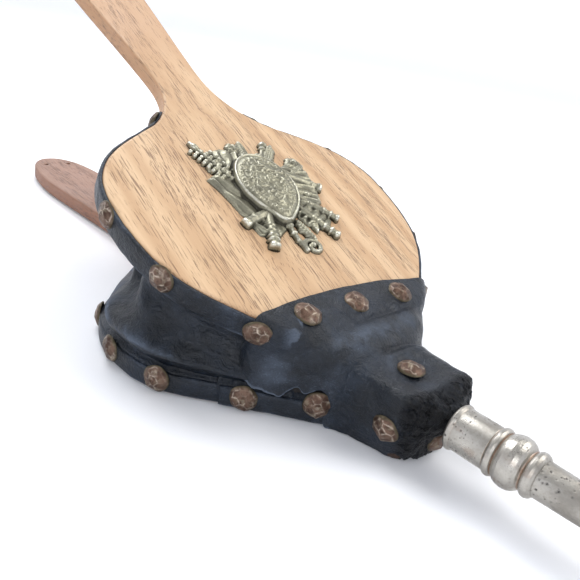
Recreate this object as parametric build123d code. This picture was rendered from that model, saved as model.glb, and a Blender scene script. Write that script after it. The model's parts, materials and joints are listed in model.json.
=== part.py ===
from build123d import *
from math import atan2, cos, radians, sin, tan
import os

# A hand bellows. The frame: the underside of the bottom board is z = 0, the hinge end of the
# boards is at x = 0, the nozzle points along +X and the handles along -X.

# ---- Driving dimensions, in millimetres and degrees ----
BOARD_HALF_WIDTH = 80.0        # widest part of the pear-shaped boards
BOARD_THICKNESS = 10.0
SHOULDER_HALF_WIDTH = 46.8     # half-width at x = 0, where the board starts to taper to the nose
SHOULDER_SLOPE = 45.0          # taper of the board's sides ahead of the shoulder
WIDEST_AT = 71.5               # distance of the widest part behind x = 0
NECK_AT = 168.6                # narrowest part of the handle
NECK_HALF_WIDTH = 15.4
NECK_BLEND_AT = 129.3          # where the pear's side turns into the neck
LOWER_HALF_WIDTH = 79.0        # the bottom board's pear is shorter, and widest further forward
LOWER_WIDEST_AT = 54.0
LOWER_NECK_BLEND_AT = 116.0
NECK_BLEND_HALF_WIDTH = 30.5
NECK_BLEND_SLOPE = 44.0
GRIP_AT = 274.2                # widest part of the grip
GRIP_HALF_WIDTH = 22.3
BOARD_END = 330.4
CURVE_STEPS = 6                 # points on each curve of the outline
EDGE_ROUND = 1.4
LOWER_EDGE_ROUND = 2.6

OPEN_ANGLE = 22.26             # between the boards, at rest
TOP_BOARD_HEIGHT = 33.0        # lower face of the top board at x = 0, at rest
TOP_BOARD_FRONT = 9.1          # how far the top board runs ahead of its x = 0 line

NOSE_REAR_X = 12.5
NOSE_FRONT_X = 57.0
NOSE_TOP_Z = 28.5
NOSE_WAIST_X = 30.0
NOSE_WAIST_HALF_WIDTH = 20.5
NOSE_FRONT_HALF_WIDTH = 16.5
NOSE_CORNER_ROUND = 5.0

LEATHER = 1.8                  # leather thickness
BAND_LOW = 1.8                 # rim bands, measured up from each board's lower face
BAND_HIGH = 9.2
BAND_REAR = 136.0              # where the top rim band and the bag stop, behind x = 0
LOWER_BAND_REAR = 122.0        # the same along the bottom board
GUSSET_INSET = 5.0             # how far the bag leather sits inside the boards' edge
GAP = 0.3                      # clearance between pieces that move apart

NAIL_RADIUS = 6.0
NAIL_DOME = 3.0
NAIL_SHANK_RADIUS = 1.1
NAIL_SHANK_LENGTH = 9.0
NEAR_RIM_NAILS = (33.5, 70.0, 131.0)            # on the top board's -Y side
FAR_RIM_NAILS = (33.5, 70.0, 104.0, 131.0)      # on its +Y side
FAR_NAIL_HEIGHT = 3.3           # they were driven lower there
BOTTOM_RIM_NAILS = (27.0, 55.0, 84.0, 110.0)
CORNER_NAIL_AT = 1.0            # the nails at the boards' front corners, behind x = 0
BOTTOM_NAIL_HEIGHT = 6.3
STRIP_NAIL_X = 20.0             # nails on the bottom board's taper, driven where it meets the nose block
STRIP_NAIL_HEIGHT = 9.8
NOSE_TOP_NAIL_X = 41.5
NOSE_TOP_SHANK = 2.9            # short, because the spigot lies below
NOSE_SIDE_NAIL_X = 50.0
NOSE_SIDE_NAIL_Z = 13.4
NOSE_FRONT_NAIL_Y = 1.5          # the one nail under the nozzle
NOSE_FRONT_NAIL_Z = 8.5
APRON_NAIL_SPACING = 28.3
APRON_NAIL_AT = -2.4           # behind x = 0, along the top board
APRON_REAR = 6.9
APRON_ARC_RADIUS = 260.0        # the apron's rear edge bulges toward the handle
APRON_LOW = 1.0                 # the apron stops just above the underside
BEND_HALF_WIDTH = 34.0          # of the leather over the hinge
STRIP_REAR_X = -8.0
STRIP_FRONT_X = 25.0
BAND_FRONT_X = 4.0
BAG_FRONT_X = 10.0
LAYER_PLAY = 0.05               # between layers of leather and wood
SEAT_PLAY = 0.1                 # under a nail's or a tack's head

TACK_RADIUS = 2.6
TACK_DOME = 0.9
TACK_SHANK_RADIUS = 0.7
TACK_SHANK_LENGTH = 5.0
HINGE_STRIP = 1.5               # thickness of the inner hinge leather
HINGE_STRIP_HALF_WIDTH = 23.0
HINGE_STRIP_REACH = 11.0        # along the top board, behind x = 0
HINGE_STRIP_LOW = 14.0
HINGE_TACKS_AT = 5.0
HINGE_TACKS_TOP_Y = (-17.0, 0.0, 17.0)
HINGE_TACKS_NOSE_Y = (-16.0, 16.0)
HINGE_TACKS_Z = 20.0

SCREW_X = 24.0
SCREW_Y = 14.0
SCREW_RADIUS = 1.9
SCREW_HEAD_RADIUS = 3.8
SCREW_HEAD_DEPTH = 2.8
SCREW_LENGTH = 21.0

NOZZLE_SEAT = (68.6, 0.3, 19.5)   # centre of the nozzle's rolled lip
NOZZLE_YAW = 2.0
NOZZLE_PITCH = 1.5
SPIGOT_RADIUS = 4.6
SPIGOT_LENGTH = 36.0
BORE_RADIUS = 3.4
AIRWAY_RADIUS = 4.0             # through the nose block, behind the spigot
AIRWAY_REACH = 70.0
COLLAR_RADIUS = 8.8
COLLAR_LENGTH = 16.0            # the plain ferrule, from its lip to its first ring
COLLAR_END = 34.3
SOCKET_RADIUS = 5.6             # where the tube fits into the collar
SOCKET_START = 22.0
TUBE_RADIUS = 7.2
TUBE_LENGTH = 128.0
TIP_RADIUS = 4.2
TIP_BORE_RADIUS = 3.0
TIP_STRAIGHT = 12.0

INLET_X = -72.0
INLET_RADIUS = 18.0
FLAP_HALF_WIDTH = 25.0
FLAP_FRONT_X = -44.0
FLAP_REAR_X = -98.0
FLAP_THICKNESS = 2.0
STIFFENER_THICKNESS = 2.5
STRAP_X = -84.0
STRAP_HEIGHT = 15.5
STRAP_THICKNESS = 1.2
STRAP_WIDTH = 9.0
STRAP_HALF_SPAN = 30.0
STRAP_FOOT = 9.0
STIFFENER_REAR_X = -93.0
STIFFENER_FRONT_X = -51.0
STIFFENER_HALF_WIDTH = 20.0
STIFFENER_TACKS_X = (-84.0, -60.0)
STIFFENER_TACK_LENGTH = 3.0
VALVE_STRIP_FRONT_X = -30.0
VALVE_TACK_X = -37.0
VALVE_TACKS_Y = (-18.0, 0.0, 18.0)

THONG_HOLE_RADIUS = 1.6
THONG_HOLE_SPACING = 17.0
THONG_HOLE_AT = 313.5

ORNAMENT_AT = 70.0             # centre of the ornament, along the top board
ORNAMENT_HALF_LENGTH = 37.0
ORNAMENT_HALF_WIDTH = 29.0
ORNAMENT_BASE = 1.6
SHIELD_HALF_LENGTH = 22.0
SHIELD_HALF_WIDTH = 17.0
SHIELD_RISE = 5.0
SHIELD_RIM = 2.0
SHIELD_RIM_HEIGHT = 3.5
STAFF_SLANT = 36.0
STAFF_RADIUS = 2.2
ORNAMENT_PIN_RADIUS = 0.8
ORNAMENT_PIN_DEPTH = 8.0
ORNAMENT_PIN_REACH = 16.0

TOP_PEAR = (WIDEST_AT, BOARD_HALF_WIDTH, NECK_BLEND_AT)
BOTTOM_PEAR = (LOWER_WIDEST_AT, LOWER_HALF_WIDTH, LOWER_NECK_BLEND_AT)
TOP_BOARD_POSE = Location((0, 0, TOP_BOARD_HEIGHT), (0, OPEN_ANGLE, 0))
nozzle_turn = radians(NOZZLE_YAW)
NOZZLE_AXIS = Vector(cos(nozzle_turn), sin(nozzle_turn), tan(radians(NOZZLE_PITCH))).normalized()
NOZZLE_POSE = Plane(origin=NOZZLE_SEAT, z_dir=NOZZLE_AXIS).location


# ---- The outline of a board ----
def outline_curves(pear):
    """The right-hand side of a pear and its handle, from x = 0 to the handle's end."""
    widest_at, half_width, blend_at = pear
    slope = radians(SHOULDER_SLOPE)
    blend = radians(NECK_BLEND_SLOPE)
    shoulder = Vector(0, SHOULDER_HALF_WIDTH)
    widest = Vector(-widest_at, half_width)
    turn = Vector(-blend_at, NECK_BLEND_HALF_WIDTH)
    neck = Vector(-NECK_AT, NECK_HALF_WIDTH)
    grip = Vector(-GRIP_AT, GRIP_HALF_WIDTH)
    end = Vector(-BOARD_END, 0)
    along_slope = Vector(-cos(slope), sin(slope))
    along_blend = Vector(-cos(blend), -sin(blend))
    back = blend_at - widest_at
    to_neck = NECK_AT - blend_at
    return [
        [shoulder, shoulder + along_slope * 28.3, widest + Vector(0.566 * widest_at, 0), widest],
        [widest, widest - Vector(0.623 * back, 0), turn - along_blend * (0.317 * back), turn],
        [turn, turn + along_blend * 13.6, neck + Vector(0.427 * to_neck, 0), neck],
        [neck, neck - Vector(19.6, 0), grip + Vector(17.2, 0), grip],
        [grip, grip - Vector(13.7, 0), end + Vector(0, 20.6), end],
    ]


def on_curve(points, t):
    """The point at t on a cubic Bezier curve, and the direction in which it runs."""
    a, b, c, d = points
    place = a * (1 - t) ** 3 + b * (3 * t * (1 - t) ** 2) + c * (3 * t * t * (1 - t)) + d * t ** 3
    run = (b - a) * (3 * (1 - t) ** 2) + (c - b) * (6 * t * (1 - t)) + (d - c) * (3 * t * t)
    return place, run.normalized()


def rim_point(pear, behind, side=1):
    """The outline's point this far behind x = 0, and its outward direction."""
    for curve in outline_curves(pear):
        if -curve[0].X <= behind <= -curve[3].X:
            low, high = 0.0, 1.0
            for _ in range(40):
                middle = (low + high) / 2
                if -on_curve(curve, middle)[0].X < behind:
                    low = middle
                else:
                    high = middle
            place, run = on_curve(curve, (low + high) / 2)
            return Vector(place.X, side * place.Y), Vector(run.Y, -side * run.X)
    raise ValueError(behind)


def mirrored_face(edges):
    """A closed face from the edges of its +Y half, which start and end on the X axis."""
    half = Wire(edges)
    return make_face(Wire([*half.edges(), *half.mirror(Plane.XZ).edges()]))


def pear_edges(pear, grow):
    """The pear and handle's right-hand side, moved outward by a distance."""
    edges = []
    for points in outline_curves(pear):
        through = []
        for step in range(CURVE_STEPS + 1):
            place, run = on_curve(points, step / CURVE_STEPS)
            through.append(place + Vector(run.Y, -run.X) * grow)
        starts = on_curve(points, 0)[1]
        ends = on_curve(points, 1)[1]
        edges.append(Spline(*through, tangents=(starts, ends)))
    return edges


def taper_point(x, grow):
    """A point on the straight taper ahead of the shoulder."""
    slope = radians(SHOULDER_SLOPE)
    return (x, SHOULDER_HALF_WIDTH + grow / cos(slope) - x * tan(slope))


def shoulder_point(grow):
    return taper_point(grow * sin(radians(SHOULDER_SLOPE)), grow)


def top_board_face(grow=0.0):
    front = TOP_BOARD_FRONT + grow
    corner = taper_point(front, grow)
    taper = Line(corner, shoulder_point(grow))
    return mirrored_face([Line((front, 0), corner), taper, *pear_edges(TOP_PEAR, grow)])


def nose_edges(grow):
    """The bottom board's plan ahead of its shoulder: a taper, a waist and the rounded nose."""
    waist = (NOSE_WAIST_X, NOSE_WAIST_HALF_WIDTH + grow)
    taper_end = taper_point(NOSE_WAIST_X - 9.0, grow)
    bend = (taper_end[0] + 3.0, waist[1] + 1.6)
    front = NOSE_FRONT_X + grow
    front_half = NOSE_FRONT_HALF_WIDTH + grow
    corner_start = (front, front_half - NOSE_CORNER_ROUND)
    corner_end = (front - NOSE_CORNER_ROUND, front_half + 0.6)
    return [
        Line((front, 0), corner_start),
        Bezier(corner_start, (front, front_half), corner_end),
        Line(corner_end, waist),
        Bezier(waist, bend, taper_end),
        Line(taper_end, shoulder_point(grow)),
    ]


def nose_face(rear, grow=0.0):
    """The nose's plan ahead of a given x."""
    shoulder = shoulder_point(grow)
    whole = mirrored_face([*nose_edges(grow), Line(shoulder, (shoulder[0], 0))])
    return whole & between(rear, NOSE_FRONT_X + 10)


def bottom_board_face(grow=0.0):
    return mirrored_face([*nose_edges(grow), *pear_edges(BOTTOM_PEAR, grow)])


def between(rear, front):
    """Everything that lies between two stations, to trim a plan with."""
    return Pos((rear + front) / 2, 0) * Rectangle(front - rear, 2 * BOARD_HALF_WIDTH + 40)


def bag_face(pear, rear, inset):
    """A plan of the leather bag: a pear inside its edge, cut off square at both ends."""
    whole = mirrored_face([*nose_edges(-inset), *pear_edges(pear, -inset)])
    return whole & between(-rear + inset, BAG_FRONT_X)


# ---- Fasteners ----
def fastener(radius, dome, shank_radius, shank_length):
    """A domed nail along Z: its head stands on z = 0 and its shank runs down to a point."""
    head_round = (radius ** 2 + dome ** 2) / (2 * dome)
    ball = Pos(0, 0, dome - head_round) * Sphere(head_round)
    cap = ball & (Pos(0, 0, dome / 2) * Cylinder(radius, dome))
    shank_top = 0.2
    shank = Pos(0, 0, (shank_top - shank_length) / 2) * Cylinder(shank_radius, shank_length + shank_top)
    point_length = 2 * shank_radius
    point = Pos(0, 0, -shank_length - point_length / 2) * Cone(0.2, shank_radius, point_length)
    return cap + shank + point


def nail(length=NAIL_SHANK_LENGTH):
    return fastener(NAIL_RADIUS, NAIL_DOME, NAIL_SHANK_RADIUS, length)


def tack(length=TACK_SHANK_LENGTH):
    return fastener(TACK_RADIUS, TACK_DOME, TACK_SHANK_RADIUS, length)


def facing(place, outward):
    """A location whose Z axis points outward from a place."""
    return Plane(origin=place, z_dir=outward).location


def rim_nail(pear, behind, side, height, leathers=1):
    """A nail driven level into a board's edge, through this many thicknesses of leather."""
    place, outward = rim_point(pear, behind, side)
    seat = Vector(place.X, place.Y, height) + outward * (leathers * LEATHER + SEAT_PLAY)
    return facing(seat, outward) * nail()


# ---- Wood ----
def bored(shape, fasteners):
    """A piece with the holes that its nails, tacks or pins fill."""
    for one in fasteners:
        shape = shape - one
    return shape


def board(face):
    """A board cut from a face, with its upper and lower edges rounded over."""
    plank = extrude(face, BOARD_THICKNESS)
    plank = fillet(plank.faces().sort_by(Axis.Z)[-1].edges(), EDGE_ROUND)
    return fillet(plank.faces().sort_by(Axis.Z)[0].edges(), LOWER_EDGE_ROUND)


def board_point(behind, height):
    """A point of the tilted top board in the XZ plane, from its own coordinates."""
    tilt = radians(OPEN_ANGLE)
    x = height * sin(tilt) - behind * cos(tilt)
    return (x, TOP_BOARD_HEIGHT + behind * sin(tilt) + height * cos(tilt))


def along_nozzle(start, end, radius):
    """A round bar on the nozzle's axis, between two distances from its lip."""
    return NOZZLE_POSE * Pos(0, 0, (start + end) / 2) * Cylinder(radius, end - start)


def nose_block():
    block = Pos(0, 0, BOARD_THICKNESS) * extrude(nose_face(NOSE_REAR_X), NOSE_TOP_Z - BOARD_THICKNESS)
    block = block - along_nozzle(-AIRWAY_REACH, 0, AIRWAY_RADIUS)
    return block - along_nozzle(-SPIGOT_LENGTH - GAP, 0, SPIGOT_RADIUS)


def countersunk_screw():
    """A wood screw pointing up, its head flush with z = 0."""
    head = Pos(0, 0, SCREW_HEAD_DEPTH / 2) * Cone(SCREW_HEAD_RADIUS, SCREW_RADIUS, SCREW_HEAD_DEPTH)
    slot = Box(2 * SCREW_HEAD_RADIUS, 0.9, 1.6)
    shank_length = SCREW_LENGTH - SCREW_HEAD_DEPTH
    shank = Pos(0, 0, SCREW_HEAD_DEPTH + shank_length / 2) * Cylinder(SCREW_RADIUS, shank_length)
    point = Pos(0, 0, SCREW_LENGTH + 1.5) * Cone(SCREW_RADIUS, 0.2, 3.0)
    return head + shank + point - slot


# ---- Nozzle ----
def turned(edges):
    """A turned piece from its half-section, which lies at x = radius, z = length."""
    section = Wire([edge for run in edges for edge in run.edges()])
    return revolve(make_face(section), Axis.Z)


def nozzle_collar():
    ferrule = COLLAR_RADIUS
    ring_start = COLLAR_LENGTH - 0.5
    return turned([
        Polyline((BORE_RADIUS, 0, -SPIGOT_LENGTH), (SPIGOT_RADIUS, 0, -SPIGOT_LENGTH),
                 (SPIGOT_RADIUS, 0, -1.1), (ferrule - 0.3, 0, -1.1)),
        ThreePointArc((ferrule - 0.3, 0, -1.1), (ferrule + 0.8, 0, 0), (ferrule, 0, 1.2)),
        Line((ferrule, 0, 1.2), (ferrule, 0, ring_start)),
        ThreePointArc((ferrule, 0, ring_start), (ferrule + 0.8, 0, 17.2), (ferrule - 0.2, 0, 18.9)),
        ThreePointArc((ferrule - 0.2, 0, 18.9), (ferrule + 1.5, 0, 23.8), (ferrule - 0.6, 0, 28.7)),
        Polyline((ferrule - 0.6, 0, 28.7), (ferrule - 1.2, 0, 29.2), (ferrule - 1.2, 0, 30.0)),
        ThreePointArc((ferrule - 1.2, 0, 30.0), (ferrule, 0, 32.0), (TUBE_RADIUS, 0, COLLAR_END)),
        Polyline((TUBE_RADIUS, 0, COLLAR_END), (SOCKET_RADIUS, 0, COLLAR_END),
                 (SOCKET_RADIUS, 0, SOCKET_START), (BORE_RADIUS, 0, SOCKET_START),
                 (BORE_RADIUS, 0, -SPIGOT_LENGTH)),
    ])


def nozzle_tube():
    spigot_radius = SOCKET_RADIUS - 0.05
    taper_end = COLLAR_END + TUBE_LENGTH - TIP_STRAIGHT
    tip = COLLAR_END + TUBE_LENGTH
    return turned([
        Polyline((TIP_BORE_RADIUS, 0, tip), (TIP_BORE_RADIUS, 0, taper_end),
                 (BORE_RADIUS, 0, SOCKET_START + 0.2),
                 (spigot_radius, 0, SOCKET_START + 0.2), (spigot_radius, 0, COLLAR_END),
                 (TUBE_RADIUS, 0, COLLAR_END), (TIP_RADIUS, 0, taper_end), (TIP_RADIUS, 0, tip),
                 (TIP_BORE_RADIUS, 0, tip)),
    ])


# ---- Leather ----
def band(plan, rear, front, layer=0):
    """A leather strip round the edge of a plan, between two stations."""
    inside = plan(layer * LEATHER + LAYER_PLAY)
    outside = plan((layer + 1) * LEATHER + LAYER_PLAY)
    strip = (outside - inside) & between(rear, front)
    return Pos(0, 0, BAND_LOW) * extrude(strip, BAND_HIGH - BAND_LOW)


def gusset_leather():
    """The bag: a wedge-shaped wall from the bottom board's upper face to the top board's lower face."""
    below = Pos(0, 0, BOARD_THICKNESS)
    above = TOP_BOARD_POSE * Pos(0, 0, -GAP)
    walls = []
    for inset in (GUSSET_INSET, GUSSET_INSET + LEATHER):
        foot = below * bag_face(BOTTOM_PEAR, LOWER_BAND_REAR, inset)
        head = above * bag_face(TOP_PEAR, BAND_REAR, inset)
        walls.append(loft([foot, head], ruled=True))
    return walls[0] - walls[1]


def nose_apron():
    """The front leather: laid on the top board's front, over the hinge and down round the nose."""
    round_rear = Pos(APRON_ARC_RADIUS - APRON_REAR, 0) * Circle(APRON_ARC_RADIUS)
    flap = TOP_BOARD_POSE * Pos(0, 0, BOARD_THICKNESS) * extrude(top_board_face() & round_rear, LEATHER)
    front = -TOP_BOARD_FRONT
    top_z = NOSE_TOP_Z + LAYER_PLAY
    lower = BOARD_THICKNESS + LAYER_PLAY
    upper = BOARD_THICKNESS + LEATHER
    bend = make_face(Plane.XZ * Polyline(
        board_point(front + 3.0, lower), board_point(front + 3.0, upper), board_point(front - LEATHER, upper),
        (NOSE_REAR_X + 3.4, top_z + LEATHER), (NOSE_REAR_X + 3.4, top_z), (NOSE_REAR_X + 1.4, top_z),
        board_point(front - LAYER_PLAY, lower), close=True))
    bend = extrude(bend, BEND_HALF_WIDTH, both=True)
    rear = NOSE_REAR_X + 1.4
    over = nose_face(rear, LEATHER)
    cover = Pos(0, 0, top_z) * extrude(over, LEATHER)
    under = Pos(0, 0, APRON_LOW) * extrude(over - nose_face(rear - 10, LAYER_PLAY), top_z - APRON_LOW)
    return flap + bend + cover + under - along_nozzle(-40, 20, SPIGOT_RADIUS + 0.1)


def hinge_leather():
    """The inner hinge: under the top board's front edge and down the back of the nose block."""
    front = -TOP_BOARD_FRONT
    section = make_face(Plane.XZ * Polyline(
        board_point(HINGE_STRIP_REACH, 0), board_point(front, 0), (NOSE_REAR_X, NOSE_TOP_Z - 0.2),
        (NOSE_REAR_X, HINGE_STRIP_LOW), (NOSE_REAR_X - HINGE_STRIP, HINGE_STRIP_LOW),
        (NOSE_REAR_X - HINGE_STRIP, NOSE_TOP_Z - 2.0), board_point(front + 1.0, -HINGE_STRIP),
        board_point(HINGE_STRIP_REACH, -HINGE_STRIP), close=True))
    return extrude(section, HINGE_STRIP_HALF_WIDTH, both=True)


# ---- Inlet valve ----
def plate(rear, front, half_width, base, thickness, corner):
    """A flat rounded rectangle lying between two stations."""
    sheet = RectangleRounded(front - rear, 2 * half_width, corner)
    return Pos((rear + front) / 2, 0, base) * extrude(sheet, thickness)


def valve_strap():
    """The bridge that stops the flap: two feet, two posts and a bar across."""
    top = BOARD_THICKNESS + STRAP_HEIGHT
    post = STRAP_HALF_SPAN
    bar = Pos(STRAP_X, 0, top + STRAP_THICKNESS / 2) * Box(STRAP_WIDTH, 2 * post, STRAP_THICKNESS)
    upright = Box(STRAP_WIDTH, STRAP_THICKNESS, STRAP_HEIGHT)
    foot = Box(STRAP_WIDTH, STRAP_FOOT, STRAP_THICKNESS)
    upright_y = post - STRAP_THICKNESS / 2
    foot_y = post + STRAP_FOOT / 2 - STRAP_THICKNESS
    bridge = bar
    for side in (1, -1):
        bridge += Pos(STRAP_X, side * upright_y, BOARD_THICKNESS + STRAP_HEIGHT / 2) * upright
        bridge += Pos(STRAP_X, side * foot_y, BOARD_THICKNESS + STRAP_THICKNESS / 2) * foot
    return bridge


# ---- Ornament ----
def ornament_casting():
    """A generic cast trophy: a scalloped ground, two crossed staffs and a domed oval shield."""
    ground = extrude(Ellipse(ORNAMENT_HALF_LENGTH - 6, ORNAMENT_HALF_WIDTH - 5), ORNAMENT_BASE)
    lobes = 12
    for lobe in range(lobes):
        turn = radians(360 * lobe / lobes)
        ground += Pos((ORNAMENT_HALF_LENGTH - 6) * cos(turn), (ORNAMENT_HALF_WIDTH - 5) * sin(turn),
                      ORNAMENT_BASE / 2) * Cylinder(5.0, ORNAMENT_BASE)
    staff_length = 2 * ORNAMENT_HALF_LENGTH
    staff = Pos(0, 0, ORNAMENT_BASE) * Rot(0, 90, 0) * Cylinder(STAFF_RADIUS, staff_length)
    for slant in (STAFF_SLANT, -STAFF_SLANT):
        ground += Rot(0, 0, slant) * staff
    dome_round = (SHIELD_HALF_WIDTH ** 2 + SHIELD_RISE ** 2) / (2 * SHIELD_RISE)
    dome = Pos(0, 0, SHIELD_RISE - dome_round) * Sphere(dome_round)
    dome = scale(dome & (Pos(0, 0, 10) * Box(60, 60, 20)), (SHIELD_HALF_LENGTH / SHIELD_HALF_WIDTH, 1, 1))
    outside = Ellipse(SHIELD_HALF_LENGTH, SHIELD_HALF_WIDTH)
    inside = Ellipse(SHIELD_HALF_LENGTH - SHIELD_RIM, SHIELD_HALF_WIDTH - SHIELD_RIM)
    rim = extrude(outside - inside, SHIELD_RIM_HEIGHT)
    return (ground + dome + rim) & (Pos(0, 0, 10) * Box(120, 120, 20))


def write(name, shape):
    """One STEP file for a piece, or for a group of like pieces given as a list."""
    piece = Compound(children=list(shape)) if isinstance(shape, list) else shape
    piece.label = name
    export_step(piece, f"parts/{name}.step")


os.makedirs("parts", exist_ok=True)

# ---- Fasteners come first, because the wood and the leather are bored for them ----
top_nail_height = (BAND_LOW + BAND_HIGH) / 2
top_rim_nails = [rim_nail(TOP_PEAR, behind, -1, top_nail_height) for behind in NEAR_RIM_NAILS]
top_rim_nails += [rim_nail(TOP_PEAR, behind, 1, FAR_NAIL_HEIGHT) for behind in FAR_RIM_NAILS]
top_rim_nails = [TOP_BOARD_POSE * one for one in top_rim_nails]
bottom_rim_nails = [rim_nail(BOTTOM_PEAR, behind, side, BOTTOM_NAIL_HEIGHT)
                    for behind in BOTTOM_RIM_NAILS for side in (1, -1)]

apron_nails = [rim_nail(TOP_PEAR, CORNER_NAIL_AT, side, top_nail_height, 2) for side in (1, -1)]
for step in (-1, 0, 1):
    seat = Pos(-APRON_NAIL_AT, step * APRON_NAIL_SPACING, BOARD_THICKNESS + LEATHER)
    apron_nails.append(seat * nail())
apron_nails = [TOP_BOARD_POSE * one for one in apron_nails]

strip_nails = [rim_nail(BOTTOM_PEAR, CORNER_NAIL_AT, side, BOTTOM_NAIL_HEIGHT, 2) for side in (1, -1)]
taper = radians(SHOULDER_SLOPE)
strip_nail_y = SHOULDER_HALF_WIDTH - STRIP_NAIL_X * tan(taper)
for side in (1, -1):
    outward = Vector(sin(taper), side * cos(taper))
    place = Vector(STRIP_NAIL_X, side * strip_nail_y, STRIP_NAIL_HEIGHT)
    strip_nails.append(facing(place + outward * (2 * LEATHER + SEAT_PLAY), outward) * nail())

nose_side_angle = atan2(NOSE_WAIST_HALF_WIDTH - NOSE_FRONT_HALF_WIDTH, NOSE_FRONT_X - NOSE_WAIST_X)
nose_nails = [Pos(NOSE_TOP_NAIL_X, 0, NOSE_TOP_Z + LEATHER + SEAT_PLAY) * nail(NOSE_TOP_SHANK)]
for side in (1, -1):
    outward = Vector(sin(nose_side_angle), side * cos(nose_side_angle))
    half_width = NOSE_WAIST_HALF_WIDTH - (NOSE_SIDE_NAIL_X - NOSE_WAIST_X) * tan(nose_side_angle)
    place = Vector(NOSE_SIDE_NAIL_X, side * half_width, NOSE_SIDE_NAIL_Z)
    nose_nails.append(facing(place + outward * (LEATHER + SEAT_PLAY), outward) * nail())
place = Vector(NOSE_FRONT_X + LEATHER + SEAT_PLAY, NOSE_FRONT_NAIL_Y, NOSE_FRONT_NAIL_Z)
nose_nails.append(facing(place, Vector(1, 0, 0)) * nail())

hinge_tacks_top = []
hinge_tacks_nose = []
for y in HINGE_TACKS_TOP_Y:
    seat = TOP_BOARD_POSE * Pos(-HINGE_TACKS_AT, y, -HINGE_STRIP - SEAT_PLAY)
    hinge_tacks_top.append(seat * Rot(180, 0, 0) * tack())
for y in HINGE_TACKS_NOSE_Y:
    place = Vector(NOSE_REAR_X - HINGE_STRIP - SEAT_PLAY, y, HINGE_TACKS_Z)
    hinge_tacks_nose.append(facing(place, Vector(-1, 0, 0)) * tack())

nose_screws = [Pos(SCREW_X, side * SCREW_Y, 0) * countersunk_screw() for side in (1, -1)]

valve_tacks = [Pos(VALVE_TACK_X, y, BOARD_THICKNESS + FLAP_THICKNESS + GAP) * tack() for y in VALVE_TACKS_Y]
for side in (1, -1):
    foot = STRAP_HALF_SPAN + STRAP_FOOT / 2
    valve_tacks.append(Pos(STRAP_X, side * foot, BOARD_THICKNESS + STRAP_THICKNESS + SEAT_PLAY) * tack())

stiffener_top = BOARD_THICKNESS + GAP + FLAP_THICKNESS + STIFFENER_THICKNESS
short_tack = Pos(0, 0, stiffener_top + SEAT_PLAY) * tack(STIFFENER_TACK_LENGTH)
stiffener_tacks = [Pos(x, 0, 0) * short_tack for x in STIFFENER_TACKS_X]

ornament_place = TOP_BOARD_POSE * Pos(-ORNAMENT_AT, 0, BOARD_THICKNESS)
ornament_pins = []
for x in (-ORNAMENT_PIN_REACH, ORNAMENT_PIN_REACH):
    depth = ORNAMENT_PIN_DEPTH
    ornament_pins.append(ornament_place * Pos(x, 0, -depth / 2) * Cylinder(ORNAMENT_PIN_RADIUS, depth))

# ---- Boards ----
top_board = TOP_BOARD_POSE * board(top_board_face())
write("top_board", bored(top_board, top_rim_nails + apron_nails + hinge_tacks_top + ornament_pins))

bottom_board = board(bottom_board_face())
bottom_board -= Pos(INLET_X, 0, BOARD_THICKNESS / 2) * Cylinder(INLET_RADIUS, 2 * BOARD_THICKNESS)
for side in (1, -1):
    hole = Cylinder(THONG_HOLE_RADIUS, 4 * BOARD_THICKNESS)
    bottom_board -= Pos(-THONG_HOLE_AT, side * THONG_HOLE_SPACING / 2, 0) * hole
in_bottom_board = bottom_rim_nails + strip_nails + nose_nails + nose_screws + valve_tacks
write("bottom_board", bored(bottom_board, in_bottom_board))

write("nose_block", bored(nose_block(), nose_screws + nose_nails + strip_nails + hinge_tacks_nose))
write("nose_screws", nose_screws)

# ---- Nozzle ----
write("nozzle_collar", NOZZLE_POSE * nozzle_collar())
write("nozzle_tube", NOZZLE_POSE * nozzle_tube())

# ---- Leather ----
top_band = band(top_board_face, -BAND_REAR, TOP_BOARD_FRONT)
write("top_rim_band", bored(TOP_BOARD_POSE * top_band, top_rim_nails + apron_nails))
bottom_band = band(bottom_board_face, -LOWER_BAND_REAR, BAND_FRONT_X)
write("bottom_rim_band", bored(bottom_band, bottom_rim_nails + strip_nails))
strip = band(bottom_board_face, STRIP_REAR_X, STRIP_FRONT_X, layer=1)
write("front_strip", bored(strip, strip_nails))
write("gusset_leather", gusset_leather())
shank_room = [TOP_BOARD_POSE * Pos(-APRON_NAIL_AT, step * APRON_NAIL_SPACING, BOARD_THICKNESS) * Cylinder(
    NAIL_SHANK_RADIUS + GAP, 4 * LEATHER) for step in (-1, 0, 1)]
write("nose_apron", bored(nose_apron(), nose_nails + strip_nails + shank_room))
tack_room = [TOP_BOARD_POSE * Pos(-HINGE_TACKS_AT, y, 0) * Cylinder(TACK_SHANK_RADIUS + GAP, 4 * LEATHER)
             for y in HINGE_TACKS_TOP_Y]
write("hinge_leather", bored(hinge_leather(), hinge_tacks_nose + tack_room))

# ---- Nails, tacks and pins ----
write("top_rim_nails", top_rim_nails)
write("bottom_rim_nails", bottom_rim_nails)
write("apron_nails", apron_nails)
write("strip_nails", strip_nails)
write("nose_nails", nose_nails)
write("hinge_tacks_top", hinge_tacks_top)
write("hinge_tacks_nose", hinge_tacks_nose)
write("valve_tacks", valve_tacks)
write("stiffener_tacks", stiffener_tacks)
write("ornament_pins", ornament_pins)

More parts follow.
